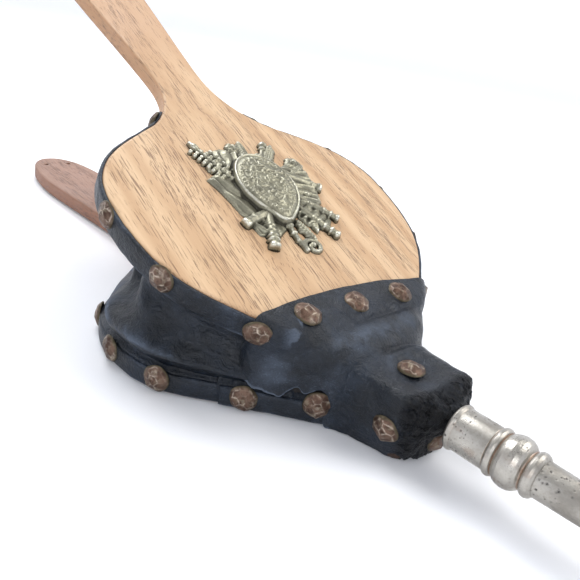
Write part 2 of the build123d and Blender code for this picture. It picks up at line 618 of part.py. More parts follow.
# ---- Inlet valve ----
flap_base = BOARD_THICKNESS + GAP
flap = plate(FLAP_REAR_X, FLAP_FRONT_X - GAP, FLAP_HALF_WIDTH, flap_base, FLAP_THICKNESS, 6.0)
write("valve_flap", bored(flap, stiffener_tacks))
stiffener = plate(STIFFENER_REAR_X, STIFFENER_FRONT_X, STIFFENER_HALF_WIDTH, flap_base + FLAP_THICKNESS,
                  STIFFENER_THICKNESS, 8.0)
write("valve_stiffener", bored(stiffener, stiffener_tacks))
strip_rear = FLAP_FRONT_X + GAP
hinge_strip = plate(strip_rear, VALVE_STRIP_FRONT_X, FLAP_HALF_WIDTH, BOARD_THICKNESS, FLAP_THICKNESS, 1.0)
write("valve_hinge_strip", bored(hinge_strip, valve_tacks))
write("valve_strap", bored(valve_strap(), valve_tacks))

# ---- Ornament ----
write("ornament_casting", ornament_place * ornament_casting())
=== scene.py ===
import json
import math

import bpy
import numpy as np
from mathutils import Matrix, Vector


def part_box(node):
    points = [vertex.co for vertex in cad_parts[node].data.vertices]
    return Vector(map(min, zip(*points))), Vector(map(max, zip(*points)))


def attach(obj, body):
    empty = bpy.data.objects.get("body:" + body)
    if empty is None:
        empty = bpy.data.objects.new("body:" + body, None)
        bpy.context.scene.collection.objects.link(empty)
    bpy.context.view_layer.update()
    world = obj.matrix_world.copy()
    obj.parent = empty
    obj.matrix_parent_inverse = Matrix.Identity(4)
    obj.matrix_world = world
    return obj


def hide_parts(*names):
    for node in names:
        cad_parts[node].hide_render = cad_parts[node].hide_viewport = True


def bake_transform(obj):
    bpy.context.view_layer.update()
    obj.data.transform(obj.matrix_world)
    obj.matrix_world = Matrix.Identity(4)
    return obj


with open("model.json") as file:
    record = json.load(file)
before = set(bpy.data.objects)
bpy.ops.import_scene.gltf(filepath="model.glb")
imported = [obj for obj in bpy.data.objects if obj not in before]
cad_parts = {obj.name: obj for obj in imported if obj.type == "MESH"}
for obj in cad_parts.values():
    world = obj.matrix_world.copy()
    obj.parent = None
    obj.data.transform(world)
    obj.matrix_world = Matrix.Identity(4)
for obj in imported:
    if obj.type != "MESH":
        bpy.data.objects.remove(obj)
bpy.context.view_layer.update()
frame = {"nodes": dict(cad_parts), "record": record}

# Everything below is worked out in millimetres in the row frame, and meshes are made in metres.
MM = 0.001

# ---- The boards' plan and pose, as the CAD has them ----
BOARD_THICKNESS = 10.0
SHOULDER_HALF_WIDTH = 46.8
OPEN_ANGLE = math.radians(22.26)
TOP_BOARD_HEIGHT = 33.0
BAND_REAR = 136.0
LOWER_BAND_REAR = 122.0
BAND_TAPER_FRONT = 27.0
NOZZLE_SEAT = np.array([68.6, 0.3, 19.5])
TIP = next(m for m in frame["record"]["mounts"] if m["name"] == "nozzle_tip")
NOZZLE_AXIS = np.array(TIP["axis"], float)
NOZZLE_END = float((np.array(TIP["pos_m"]) / MM - NOZZLE_SEAT) @ NOZZLE_AXIS) + TIP["dims"]["length_mm"] / 2


# ---- Plain arithmetic ----
def smooth(x, low, high):
    """0 below low, 1 above high, and a smooth step between them."""
    t = np.clip((np.asarray(x, float) - low) / (high - low), 0, 1)
    return t * t * (3 - 2 * t)


def bump(x, centre, width):
    """A bell of height 1."""
    return np.exp(-((np.asarray(x, float) - centre) / width) ** 2)


def lattice(cell, seed):
    """A repeatable random number from 0 to 1 for each whole-number cell."""
    x, y, z = (cell[..., i].astype(np.int64) for i in range(3))
    n = (x * 73856093) ^ (y * 19349663) ^ (z * 83492791) ^ (seed * 2654435761)
    n = (n ^ (n >> 13)) * 1274126177 & 0xFFFFFFFF
    n = (n ^ (n >> 16)) * 2246822519 & 0xFFFFFFFF
    return ((n ^ (n >> 15)) & 0xFFFFFF) / float(0x1000000)


def value_noise(points, seed):
    """Smooth noise from -1 to 1 with features about one unit across."""
    low = np.floor(points)
    part = points - low
    part = part * part * (3 - 2 * part)
    total = 0.0
    for corner in range(8):
        step = np.array([corner & 1, corner >> 1 & 1, corner >> 2 & 1])
        share = np.prod(np.where(step == 1, part, 1 - part), axis=-1)
        total = total + share * lattice(low + step, seed)
    return 2 * total - 1


def fractal(points, size, seed=0, octaves=3):
    """Several octaves of noise; size is the largest feature, in millimetres."""
    total, weight, norm = 0.0, 1.0, 0.0
    scaled = np.asarray(points, float) / size
    for octave in range(octaves):
        total = total + weight * value_noise(scaled * 2 ** octave + 17.3 * octave, seed + octave)
        norm += weight
        weight *= 0.5
    return total / norm


def cells(points, size, seed=0):
    """Distance to the nearest scattered point, in cell units, and that point's random number."""
    scaled = np.asarray(points, float) / size
    home = np.floor(scaled)
    best = np.full(scaled.shape[:-1], 9.0)
    mark = np.zeros(scaled.shape[:-1])
    for dx in (-1, 0, 1):
        for dy in (-1, 0, 1):
            for dz in (-1, 0, 1):
                cell = home + (dx, dy, dz)
                spot = cell + np.stack([lattice(cell, seed + i) for i in range(3)], -1)
                gap = np.linalg.norm(spot - scaled, axis=-1)
                nearer = gap < best
                best = np.where(nearer, gap, best)
                mark = np.where(nearer, lattice(cell, seed + 9), mark)
    return best, mark


def unit(vectors):
    return vectors / np.maximum(np.linalg.norm(vectors, axis=-1, keepdims=True), 1e-9)


def through(keys, count):
    """A smooth curve (Catmull-Rom) through rows of numbers, sampled evenly by row."""
    keys = np.asarray(keys, float)
    at = np.linspace(0, len(keys) - 1, count)
    low = np.minimum(at.astype(int), len(keys) - 2)
    t = (at - low)[(...,) + (None,) * (keys.ndim - 1)]
    before = keys[np.maximum(low - 1, 0)]
    after = keys[np.minimum(low + 2, len(keys) - 1)]
    a, b = keys[low], keys[low + 1]
    return 0.5 * (2 * a + (b - before) * t + (2 * before - 5 * a + 4 * b - after) * t ** 2
                  + (3 * a - before - 3 * b + after) * t ** 3)


# ---- The outline of the boards ----
def outline_curves(pear):
    """The +Y half of a pear and its handle, from the shoulder to the handle's end."""
    widest_at, half_width, blend_at = pear
    slope, blend = math.radians(45.0), math.radians(44.0)
    shoulder, widest = np.array([0, SHOULDER_HALF_WIDTH]), np.array([-widest_at, half_width])
    turn, neck = np.array([-blend_at, 30.5]), np.array([-168.6, 15.4])
    grip, end = np.array([-274.2, 22.3]), np.array([-330.4, 0.0])
    back, to_neck = blend_at - widest_at, 168.6 - blend_at
    rise = np.array([-math.cos(slope), math.sin(slope)])
    fall = np.array([-math.cos(blend), -math.sin(blend)])
    ahead = np.array([1.0, 0.0])
    return [
        (shoulder, shoulder + rise * 28.3, widest + ahead * 0.566 * widest_at, widest),
        (widest, widest - ahead * 0.623 * back, turn - fall * 0.317 * back, turn),
        (turn, turn + fall * 13.6, neck + ahead * 0.427 * to_neck, neck),
        (neck, neck - ahead * 19.6, grip + ahead * 17.2, grip),
        (grip, grip - ahead * 13.7, end + (0, 20.6), end),
    ]


def rim_table(pear):
    """Points along the +Y rim from the front of the taper to the end of the handle, and the run to each."""
    taper = np.linspace(BAND_TAPER_FRONT, 0.5, 48)
    rows = [np.stack([taper, SHOULDER_HALF_WIDTH - taper], 1)]
    t = np.linspace(0, 1, 60)[:-1, None]
    for a, b, c, d in outline_curves(pear):
        rows.append(a * (1 - t) ** 3 + 3 * b * t * (1 - t) ** 2 + 3 * c * t * t * (1 - t) + d * t ** 3)
    points = np.concatenate(rows)
    return points, np.concatenate([[0], np.cumsum(np.linalg.norm(np.diff(points, axis=0), axis=1))])


TOP_RIM = rim_table((71.5, 80.0, 129.3))
LOWER_RIM = rim_table((54.0, 79.0, 116.0))


def rim_at(rim, behind, side):
    """Rim points this far behind x = 0 (negative ahead of it), and their outward directions."""
    points, runs = rim
    run = np.interp(behind, -points[:, 0], runs)
    ahead, place, back = (np.stack([np.interp(run + step, runs, points[:, i]) for i in (0, 1)], -1)
                          for step in (-0.6, 0.0, 0.6))
    along = unit(back - ahead)
    out = np.stack([along[..., 1], -along[..., 0]], -1)
    flip = np.array([1, side])
    return place * flip, out * flip


def rim_stations(rim, rear, front, spacing):
    """Distances behind x = 0, evenly spaced along the rim from the rear to the front."""
    points, runs = rim
    first, last = np.interp([rear, -front], -points[:, 0], runs)
    count = int((first - last) / spacing) + 2
    return np.interp(np.linspace(first, last, count), runs, -points[:, 0])


def on_top_board(plan_x, plan_y, height):
    """Row-frame points from the top board's own plan and height above its lower face."""
    plan_x, plan_y, height = np.broadcast_arrays(plan_x, plan_y, height)
    x = plan_x * math.cos(OPEN_ANGLE) + height * math.sin(OPEN_ANGLE)
    z = TOP_BOARD_HEIGHT - plan_x * math.sin(OPEN_ANGLE) + height * math.cos(OPEN_ANGLE)
    return np.stack([x, plan_y, z], -1)


def on_bottom_board(plan_x, plan_y, height):
    plan_x, plan_y, height = np.broadcast_arrays(plan_x, plan_y, height)
    return np.stack([plan_x, plan_y, height], -1).astype(float)


# ---- Meshes ----
def make_piece(name, points, faces, material, attributes=None):
    """A mesh object from points in millimetres. Each point keeps its rest place for its material."""
    mesh = bpy.data.meshes.new(name)
    points = np.asarray(points, float).reshape(-1, 3) * MM
    mesh.from_pydata(points.tolist(), [], [list(map(int, face)) for face in faces])
    mesh.polygons.foreach_set("use_smooth", [True] * len(mesh.polygons))
    place = mesh.attributes.new("place", "FLOAT_VECTOR", "POINT")
    place.data.foreach_set("vector", points.astype(np.float32).ravel())
    for key, values in (attributes or {}).items():
        layer = mesh.attributes.new(key, "FLOAT", "POINT")
        layer.data.foreach_set("value", np.asarray(values, np.float32).ravel())
    mesh.update()
    piece = bpy.data.objects.new(name, mesh)
    bpy.context.scene.collection.objects.link(piece)
    mesh.materials.append(material)
    return piece


def grid_faces(rows, columns, wrap=False, flip=False, start=0):
    """Quads over a grid of points, closed across its columns if wrap."""
    r, c = np.meshgrid(np.arange(rows - 1), np.arange(columns if wrap else columns - 1), indexing="ij")
    right = (c + 1) % columns
    here, below = r * columns, (r + 1) * columns
    quads = np.stack([here + c, here + right, below + right, below + c], -1).reshape(-1, 4) + start
    return quads[:, ::-1] if flip else quads


def grid_normals(points, wrap=False):
    """Unit normals of a grid of points."""
    if wrap:
        across = np.roll(points, -1, axis=1) - np.roll(points, 1, axis=1)
    else:
        across = np.gradient(points, axis=1)
    return unit(np.cross(np.gradient(points, axis=0), across))


def thick_sheet(name, outer, thickness, material, attributes=None, inward=-1.0):
    """A closed sheet: the given outer grid, an inner grid one thickness away, and the edges between."""
    rows, columns, _ = outer.shape
    inner = outer + inward * thickness * grid_normals(outer)
    count = rows * columns
    faces = [grid_faces(rows, columns, flip=inward > 0),
             grid_faces(rows, columns, flip=inward < 0, start=count)]
    index = np.arange(count).reshape(rows, columns)
    rim = np.concatenate([index[0, :], index[1:, -1], index[-1, -2::-1], index[-2:0:-1, 0]])
    after = np.roll(rim, -1)
    edge = np.stack([rim, rim + count, after + count, after], -1)
    faces.append(edge[:, ::-1] if inward > 0 else edge)
    doubled = {key: np.concatenate([np.ravel(v), np.ravel(v)]) for key, v in (attributes or {}).items()}
    return make_piece(name, np.concatenate([outer.reshape(-1, 3), inner.reshape(-1, 3)]),
                      np.concatenate(faces), material, doubled)


def inward_sign(surface, spot, outward):
    """Which way along a grid's normals its inside lies, judged at one spot."""
    return -1.0 if grid_normals(surface)[spot] @ np.asarray(outward, float) > 0 else 1.0


def swept(sections, flip=False):
    """Points and faces of a closed tube through rows of closed sections, with both ends capped."""
    rows, columns, _ = sections.shape
    faces = [list(f) for f in grid_faces(rows, columns, wrap=True, flip=flip)]
    first, last = list(range(columns)), list(range((rows - 1) * columns, rows * columns))
    faces.append(first if flip else first[::-1])
    faces.append(last[::-1] if flip else last)
    return sections.reshape(-1, 3), faces


def joined(parts):
    """One list of points and one of faces from several."""
    points, faces, start = [], [], 0
    for some_points, some_faces in parts:
        points.append(some_points)
        faces.extend([[int(i) + start for i in face] for face in some_faces])
        start += len(some_points)
    return np.concatenate(points), faces


def settle(piece, body, slot, *nodes):
    """The piece rides on a body and stands for its CAD nodes, which it hides. The slot is not used."""
    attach(piece, body)
    if nodes:
        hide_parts(*nodes)
    return piece


# ---- Materials ----
class Look:
    """A node material and short ways to add to it."""

    def __init__(self, name, rest_place=True):
        self.material = bpy.data.materials.new(name)
        self.material.use_nodes = True
        self.tree = self.material.node_tree
        self.shader = self.tree.nodes["Principled BSDF"]
        if rest_place:
            place = self.add("ShaderNodeAttribute", attribute_name="place")
            self.place = place.outputs["Vector"]
        else:
            self.place = self.add("ShaderNodeTexCoord").outputs["Object"]

    def add(self, kind, **settings):
        node = self.tree.nodes.new(kind)
        for key, value in settings.items():
            setattr(node, key, value)
        return node

    def link(self, source, target):
        self.tree.links.new(source, target)

    def feed(self, socket, value):
        if hasattr(value, "is_linked"):
            self.link(value, socket)
        else:
            socket.default_value = value

    def mapped(self, scale=(1, 1, 1), turn=(0, 0, 0), shift=(0, 0, 0), source=None):
        node = self.add("ShaderNodeMapping")
        self.link(source or self.place, node.inputs["Vector"])
        node.inputs["Scale"].default_value = scale
        node.inputs["Rotation"].default_value = turn
        node.inputs["Location"].default_value = shift
        return node.outputs["Vector"]

    def noise(self, scale, detail=4.0, rough=0.55, distort=0.0, source=None):
        node = self.add("ShaderNodeTexNoise")
        self.link(source or self.place, node.inputs["Vector"])
        node.inputs["Scale"].default_value = scale
        node.inputs["Detail"].default_value = detail
        node.inputs["Roughness"].default_value = rough
        node.inputs["Distortion"].default_value = distort
        return node.outputs["Fac"]

    def stretched(self, scale, detail=4.0, rough=0.55, distort=0.0, **mapping):
        """Noise with so many features to the metre along each axis."""
        return self.noise(1.0, detail, rough, distort, self.mapped(scale=scale, **mapping))

    def cells(self, scale, feature="F1", source=None):
        node = self.add("ShaderNodeTexVoronoi", feature=feature)
        self.link(source or self.place, node.inputs["Vector"])
        node.inputs["Scale"].default_value = scale
        return node.outputs["Distance"]

    def wave(self, scale, distort, detail, source, detail_scale=1.0):
        node = self.add("ShaderNodeTexWave", wave_type="RINGS", rings_direction="X")
        self.link(source, node.inputs["Vector"])
        node.inputs["Scale"].default_value = scale
        node.inputs["Distortion"].default_value = distort
        node.inputs["Detail"].default_value = detail
        node.inputs["Detail Scale"].default_value = detail_scale
        return node.outputs["Fac"]

    def attribute(self, name):
        return self.add("ShaderNodeAttribute", attribute_name=name).outputs["Fac"]

    def ramp(self, value, low, high, start=0.0, end=1.0):
        node = self.add("ShaderNodeMapRange", interpolation_type="SMOOTHSTEP")
        self.feed(node.inputs["Value"], value)
        for key, number in (("From Min", low), ("From Max", high), ("To Min", start), ("To Max", end)):
            node.inputs[key].default_value = number
        return node.outputs["Result"]

    def maths(self, kind, a, b=0.5):
        node = self.add("ShaderNodeMath", operation=kind)
        self.feed(node.inputs[0], a)
        self.feed(node.inputs[1], b)
        return node.outputs["Value"]

    def plus(self, a, b):
        return self.maths("ADD", a, b)

    def times(self, a, b):
        return self.maths("MULTIPLY", a, b)

    def mix(self, share, a, b):
        node = self.add("ShaderNodeMix", data_type="RGBA")
        self.feed(node.inputs["Factor"], share)
        for socket, value in ((node.inputs[6], a), (node.inputs[7], b)):
            self.feed(socket, value if hasattr(value, "is_linked") else (*value, 1.0))
        return node.outputs[2]

    def separate(self, source, axis):
        node = self.add("ShaderNodeSeparateXYZ")
        self.link(source, node.inputs[0])
        return node.outputs[axis]

    def bump(self, height, distance, strength=1.0, before=None):
        node = self.add("ShaderNodeBump")
        self.feed(node.inputs["Height"], height)
        node.inputs["Distance"].default_value = distance
        node.inputs["Strength"].default_value = strength
        if before is not None:
            self.link(before, node.inputs["Normal"])
        return node.outputs["Normal"]

    def finish(self, colour, roughness, normal=None, metallic=0.0, **fixed):
        self.feed(self.shader.inputs["Base Color"], colour)
        self.feed(self.shader.inputs["Roughness"], roughness)
        self.feed(self.shader.inputs["Metallic"], metallic)
        if normal is not None:
            self.link(normal, self.shader.inputs["Normal"])
        for key, value in fixed.items():
            self.shader.inputs[key.replace("_", " ")].default_value = value
        return self.material


def wood_look(name, light, dark, pore, side_tint, tilt, handle_tint, pore_strength):
    """Open-pored oak, its grain along the board: tilt turns the row frame onto the board."""
    look = Look(name, rest_place=False)
    board = look.mapped(turn=(0, tilt, 0))
    sway = look.stretched((6.0, 10.0, 3.0), 3.0, source=board)
    warped = look.add("ShaderNodeVectorMath", operation="MULTIPLY_ADD")
    look.link(sway, warped.inputs[0])
    warped.inputs[1].default_value = (0.0, 0.012, 0.012)
    look.link(board, warped.inputs[2])
    bent = warped.outputs["Vector"]
    rings = look.mapped(scale=(1.3, 38.0, 60.0), shift=(0.4, 0.3, 0.5), source=bent)
    figure = look.wave(1.0, 3.0, 3.0, rings, 1.4)
    broad = look.stretched((5.0, 60.0, 60.0), 3.0, source=bent)
    fibre = look.stretched((25.0, 900.0, 900.0), 4.0, 0.6, source=bent)
    pores = look.stretched((75.0, 2300.0, 2300.0), 2.0, 0.5, source=bent)
    rows = look.stretched((7.0, 150.0, 150.0), 2.0, source=bent)
    depth = look.ramp(look.plus(pores, look.times(rows, 0.4)), 0.785, 0.85)
    tone = look.plus(look.times(figure, 0.45), look.times(broad, 0.6))
    colour = look.mix(look.ramp(tone, 0.25, 0.95), light, dark)
    colour = look.mix(look.ramp(fibre, 0.35, 0.75, 0.0, 0.35), colour, dark)
    x = look.separate(board, "X")
    colour = look.mix(look.ramp(x, -0.15, -0.24, 0.0, 0.75), colour, look.mix(fibre, handle_tint, dark))
    facing = look.mapped(turn=(0, tilt, 0), source=look.add("ShaderNodeTexCoord").outputs["Normal"])
    up = look.separate(facing, "Z")
    edge = look.ramp(look.maths("ABSOLUTE", up), 0.85, 0.35)
    colour = look.mix(look.times(edge, 0.85), colour, look.mix(fibre, side_tint, dark))
    grime = look.noise(22.0, 5.0, 0.65)
    colour = look.mix(look.ramp(grime, 0.55, 0.8, 0.0, 0.28), colour, dark)
    colour = look.mix(look.times(depth, pore_strength), colour, pore)
    # Painted shade: the wood ahead of x = 0, under the front leather, is darkened nearly to black.
    colour = look.mix(look.ramp(x, 0.0, 0.012, 0.0, 0.88), colour, (0.012, 0.009, 0.008))
    rough = look.ramp(grime, 0.3, 0.7, 0.42, 0.6)
    normal = look.bump(look.times(depth, -1.0), 0.0005, 0.6)
    normal = look.bump(fibre, 0.00012, 0.5, normal)
    return look.finish(colour, rough, normal, Specular_IOR_Level=0.35)


def leather_look(name, dark, light, scuffed_and_highlight):
    """Old blue-black leather: fine grain, creases, and paler places laid down by the wear attribute: rubbed
    places, and on the bag's ridge and outward folds a painted highlight.
    """
    look = Look(name)
    patches = look.noise(55.0, 5.0, 0.6)
    stains = look.noise(18.0, 4.0, 0.6)
    grain = look.cells(1150.0)
    pebble = look.noise(900.0, 3.0, 0.6)
    crackle = look.cells(240.0, "DISTANCE_TO_EDGE", source=look.mapped(scale=(1.0, 1.0, 1.6)))
    scratch = look.stretched((140.0, 420.0, 300.0), 5.0, 0.7, 1.5, turn=(0.3, 0.5, 0.8))
    wear_and_highlight = look.attribute("wear_and_highlight")
    tar = look.attribute("tar")
    crust = look.noise(430.0, 7.0, 0.78, 0.5)
    hair = look.stretched((330.0, 900.0, 1500.0), 3.0, 0.6, 2.2, turn=(0.5, 0.2, 0.6))
    hair = look.times(look.ramp(hair, 0.55, 0.68), look.ramp(stains, 0.35, 0.6, 0.1, 0.55))
    # rubbed holds real scratches, streaks and rubbing, and also the bag's painted highlights from its
    # attribute; with the specks below it turns the leather toward the pale scuff and highlight colour.
    rubbed = look.plus(wear_and_highlight, look.ramp(scratch, 0.56, 0.72, 0.0, 0.4))
    rubbed = look.plus(rubbed, look.times(hair, 0.6))
    rubbed = look.times(rubbed, look.ramp(patches, 0.35, 0.62, 0.2, 1.0))
    specks = look.ramp(look.noise(1400.0, 2.0, 0.6), 0.62, 0.7)
    rubbed = look.plus(rubbed, look.times(look.times(specks, wear_and_highlight), 0.9))
    colour = look.mix(look.ramp(patches, 0.3, 0.75), dark, light)
    colour = look.mix(look.ramp(stains, 0.45, 0.8, 0.0, 0.6), colour, dark)
    colour = look.mix(look.ramp(rubbed, 0.0, 1.0, 0.0, 0.85), colour, scuffed_and_highlight)
    black = look.times(tar, look.ramp(crust, 0.62, 0.42, 0.2, 1.0))
    colour = look.mix(black, colour, (0.004, 0.004, 0.005))
    dust = look.times(tar, look.ramp(crust, 0.6, 0.72, 0.0, 0.5))
    colour = look.mix(dust, colour, (0.11, 0.10, 0.095))
    rough = look.ramp(look.plus(look.times(patches, 0.6), rubbed), 0.1, 1.2, 0.33, 0.70)
    cracks = look.ramp(crackle, 0.0, 0.05)
    normal = look.bump(grain, 0.00022, 0.45)
    normal = look.bump(pebble, 0.00025, 0.6, normal)
    normal = look.bump(cracks, 0.0003, 0.35, normal)
    normal = look.bump(look.noise(160.0, 5.0, 0.68, 0.8), 0.0022, 0.7, normal)
    normal = look.bump(hair, 0.00025, 0.5, normal)
    normal = look.bump(look.times(crust, tar), 0.006, 0.9, normal)
    return look.finish(colour, rough, normal, Specular_IOR_Level=0.34)


def nail_look():
    """Hammered bronze nails: brown in the hollows, rubbed silvery on the ridges between facets."""
    look = Look("nail_bronze")
    ridge = look.attribute("ridge")
    dirt = look.noise(900.0, 5.0, 0.7)
    blotch = look.noise(260.0, 4.0, 0.6)
    brown = look.mix(look.ramp(blotch, 0.38, 0.62), (0.055, 0.028, 0.018), (0.145, 0.088, 0.062))
    brown = look.mix(look.ramp(look.noise(420.0, 3.0), 0.5, 0.7, 0.0, 0.6), brown, (0.24, 0.20, 0.14))
    bright = look.times(ridge, look.ramp(dirt, 0.3, 0.6))
    bright = look.times(bright, look.ramp(look.noise(210.0, 3.0), 0.42, 0.62, 0.12, 1.0))
    colour = look.mix(bright, brown, (0.50, 0.42, 0.34))
    speck = look.ramp(look.noise(1500.0, 3.0, 0.6), 0.6, 0.72)
    colour = look.mix(look.times(speck, 0.5), colour, (0.05, 0.04, 0.035))
    grime = look.times(look.attribute("rim"), look.ramp(blotch, 0.2, 0.6, 0.6, 1.0))
    colour = look.mix(grime, colour, (0.085, 0.070, 0.042))
    rough = look.ramp(look.plus(dirt, blotch), 0.6, 1.4, 0.3, 0.62)
    normal = look.bump(dirt, 0.0004, 0.5)
    return look.finish(colour, rough, normal, metallic=0.7)


def nickel_look():
    """Worn nickel: bright high places, brownish grooves, dark pits."""
    look = Look("nozzle_nickel")
    groove = look.attribute("groove")
    pit = look.attribute("pit")
    cloud = look.noise(70.0, 6.0, 0.65)
    fine = look.noise(1100.0, 4.0, 0.65)
    streak = look.stretched((160.0, 900.0, 900.0), 4.0, 0.6)
    colour = look.mix(look.ramp(cloud, 0.35, 0.7), (0.47, 0.445, 0.40), (0.27, 0.25, 0.22))
    colour = look.mix(look.ramp(fine, 0.5, 0.75, 0.0, 0.45), colour, (0.30, 0.27, 0.23))
    colour = look.mix(groove, colour, look.mix(fine, (0.20, 0.115, 0.07), (0.33, 0.24, 0.18)))
    colour = look.mix(pit, colour, (0.055, 0.05, 0.048))
    rough = look.ramp(look.plus(cloud, look.times(fine, 0.6)), 0.5, 1.1, 0.24, 0.5)
    rough = look.maths("MAXIMUM", rough, look.times(look.maths("MAXIMUM", groove, pit), 0.6))
    normal = look.bump(fine, 0.00018, 0.45)
    normal = look.bump(streak, 0.0001, 0.4, normal)
    return look.finish(colour, rough, normal, metallic=0.9)


def pewter_look():
    """Cast pewter: greenish grey, bright on its high places and dark in its hollows."""
    look = Look("pewter")
    high = look.attribute("high")
    fine = look.noise(1400.0, 4.0, 0.65)
    cloud = look.noise(120.0, 5.0, 0.6)
    lit = look.mix(look.ramp(cloud, 0.35, 0.7), (0.31, 0.295, 0.215), (0.21, 0.20, 0.150))
    colour = look.mix(look.ramp(high, 0.22, 0.55), (0.045, 0.042, 0.030), lit)
    colour = look.mix(look.ramp(high, 0.66, 0.98), colour, (0.60, 0.58, 0.48))
    colour = look.mix(look.ramp(fine, 0.5, 0.7, 0.0, 0.5), colour, (0.11, 0.10, 0.08))
    rough = look.ramp(look.maths("SUBTRACT", fine, look.times(high, 0.5)), -0.1, 0.7, 0.28, 0.6)
    normal = look.bump(fine, 0.0002, 0.5)
    return look.finish(colour, rough, normal, metallic=0.85)


def plain_leather_look():
    look = Look("inner_leather", rest_place=False)
    cloud = look.noise(60.0, 5.0, 0.6)
    colour = look.mix(look.ramp(cloud, 0.3, 0.7), (0.33, 0.19, 0.10), (0.20, 0.11, 0.055))
    normal = look.bump(look.cells(1000.0), 0.0003, 0.5)
    return look.finish(colour, look.ramp(cloud, 0.3, 0.7, 0.6, 0.8), normal)


def small_metal_look(name, tone, dark, metallic, rough_low, rough_high):
    look = Look(name, rest_place=False)
    cloud = look.noise(500.0, 5.0, 0.65)
    colour = look.mix(look.ramp(cloud, 0.35, 0.7), tone, dark)
    normal = look.bump(look.noise(1600.0, 3.0), 0.0002, 0.4)
    return look.finish(colour, look.ramp(cloud, 0.3, 0.7, rough_low, rough_high), normal, metallic=metallic)


def paint_nodes(material, *names):
    """Gives carried-over CAD nodes their material."""
    for name in names:
        node = frame["nodes"][name]
        node.data.materials.clear()
        node.data.materials.append(material)


# ---- Leather: bag, bands and strips ----
# Where the bag's wall meets the lower board's edge and the top board's, above each board's lower face.
BAG_FOOT = 8.2
BAG_HEAD = 1.2


def bag_path(rim, rear, front, count):
    """A board's line of the bag: from the front of one side, across behind, and back up the other."""
    stations = rim_stations(rim, rear - 9.0, front, 1.0)[::-1]
    stations = np.interp(np.linspace(0, 1, count), np.linspace(0, 1, len(stations)), stations)
    side, _ = rim_at(rim, stations, 1)
    start, heading = side[-1], unit(side[-1] - side[-2])
    t = np.linspace(0, 1, 16)[1:, None]
    crossing = np.array([-rear, 0.0])
    corner = (start * (1 - t) ** 3 + (start + heading * 9.0) * 3 * t * (1 - t) ** 2
              + (crossing + (0, 17.0)) * 3 * t * t * (1 - t) + crossing * t ** 3)
    half = np.concatenate([side, corner])
    mirrored = half[-2::-1] * (1, -1)
    path = np.concatenate([half, mirrored])
    along = unit(np.gradient(path, axis=0))
    out = np.stack([along[:, 1], -along[:, 0]], 1)
    return path, out * np.sign(np.sum(out * (path + (70.0, 0)), axis=1))[:, None]


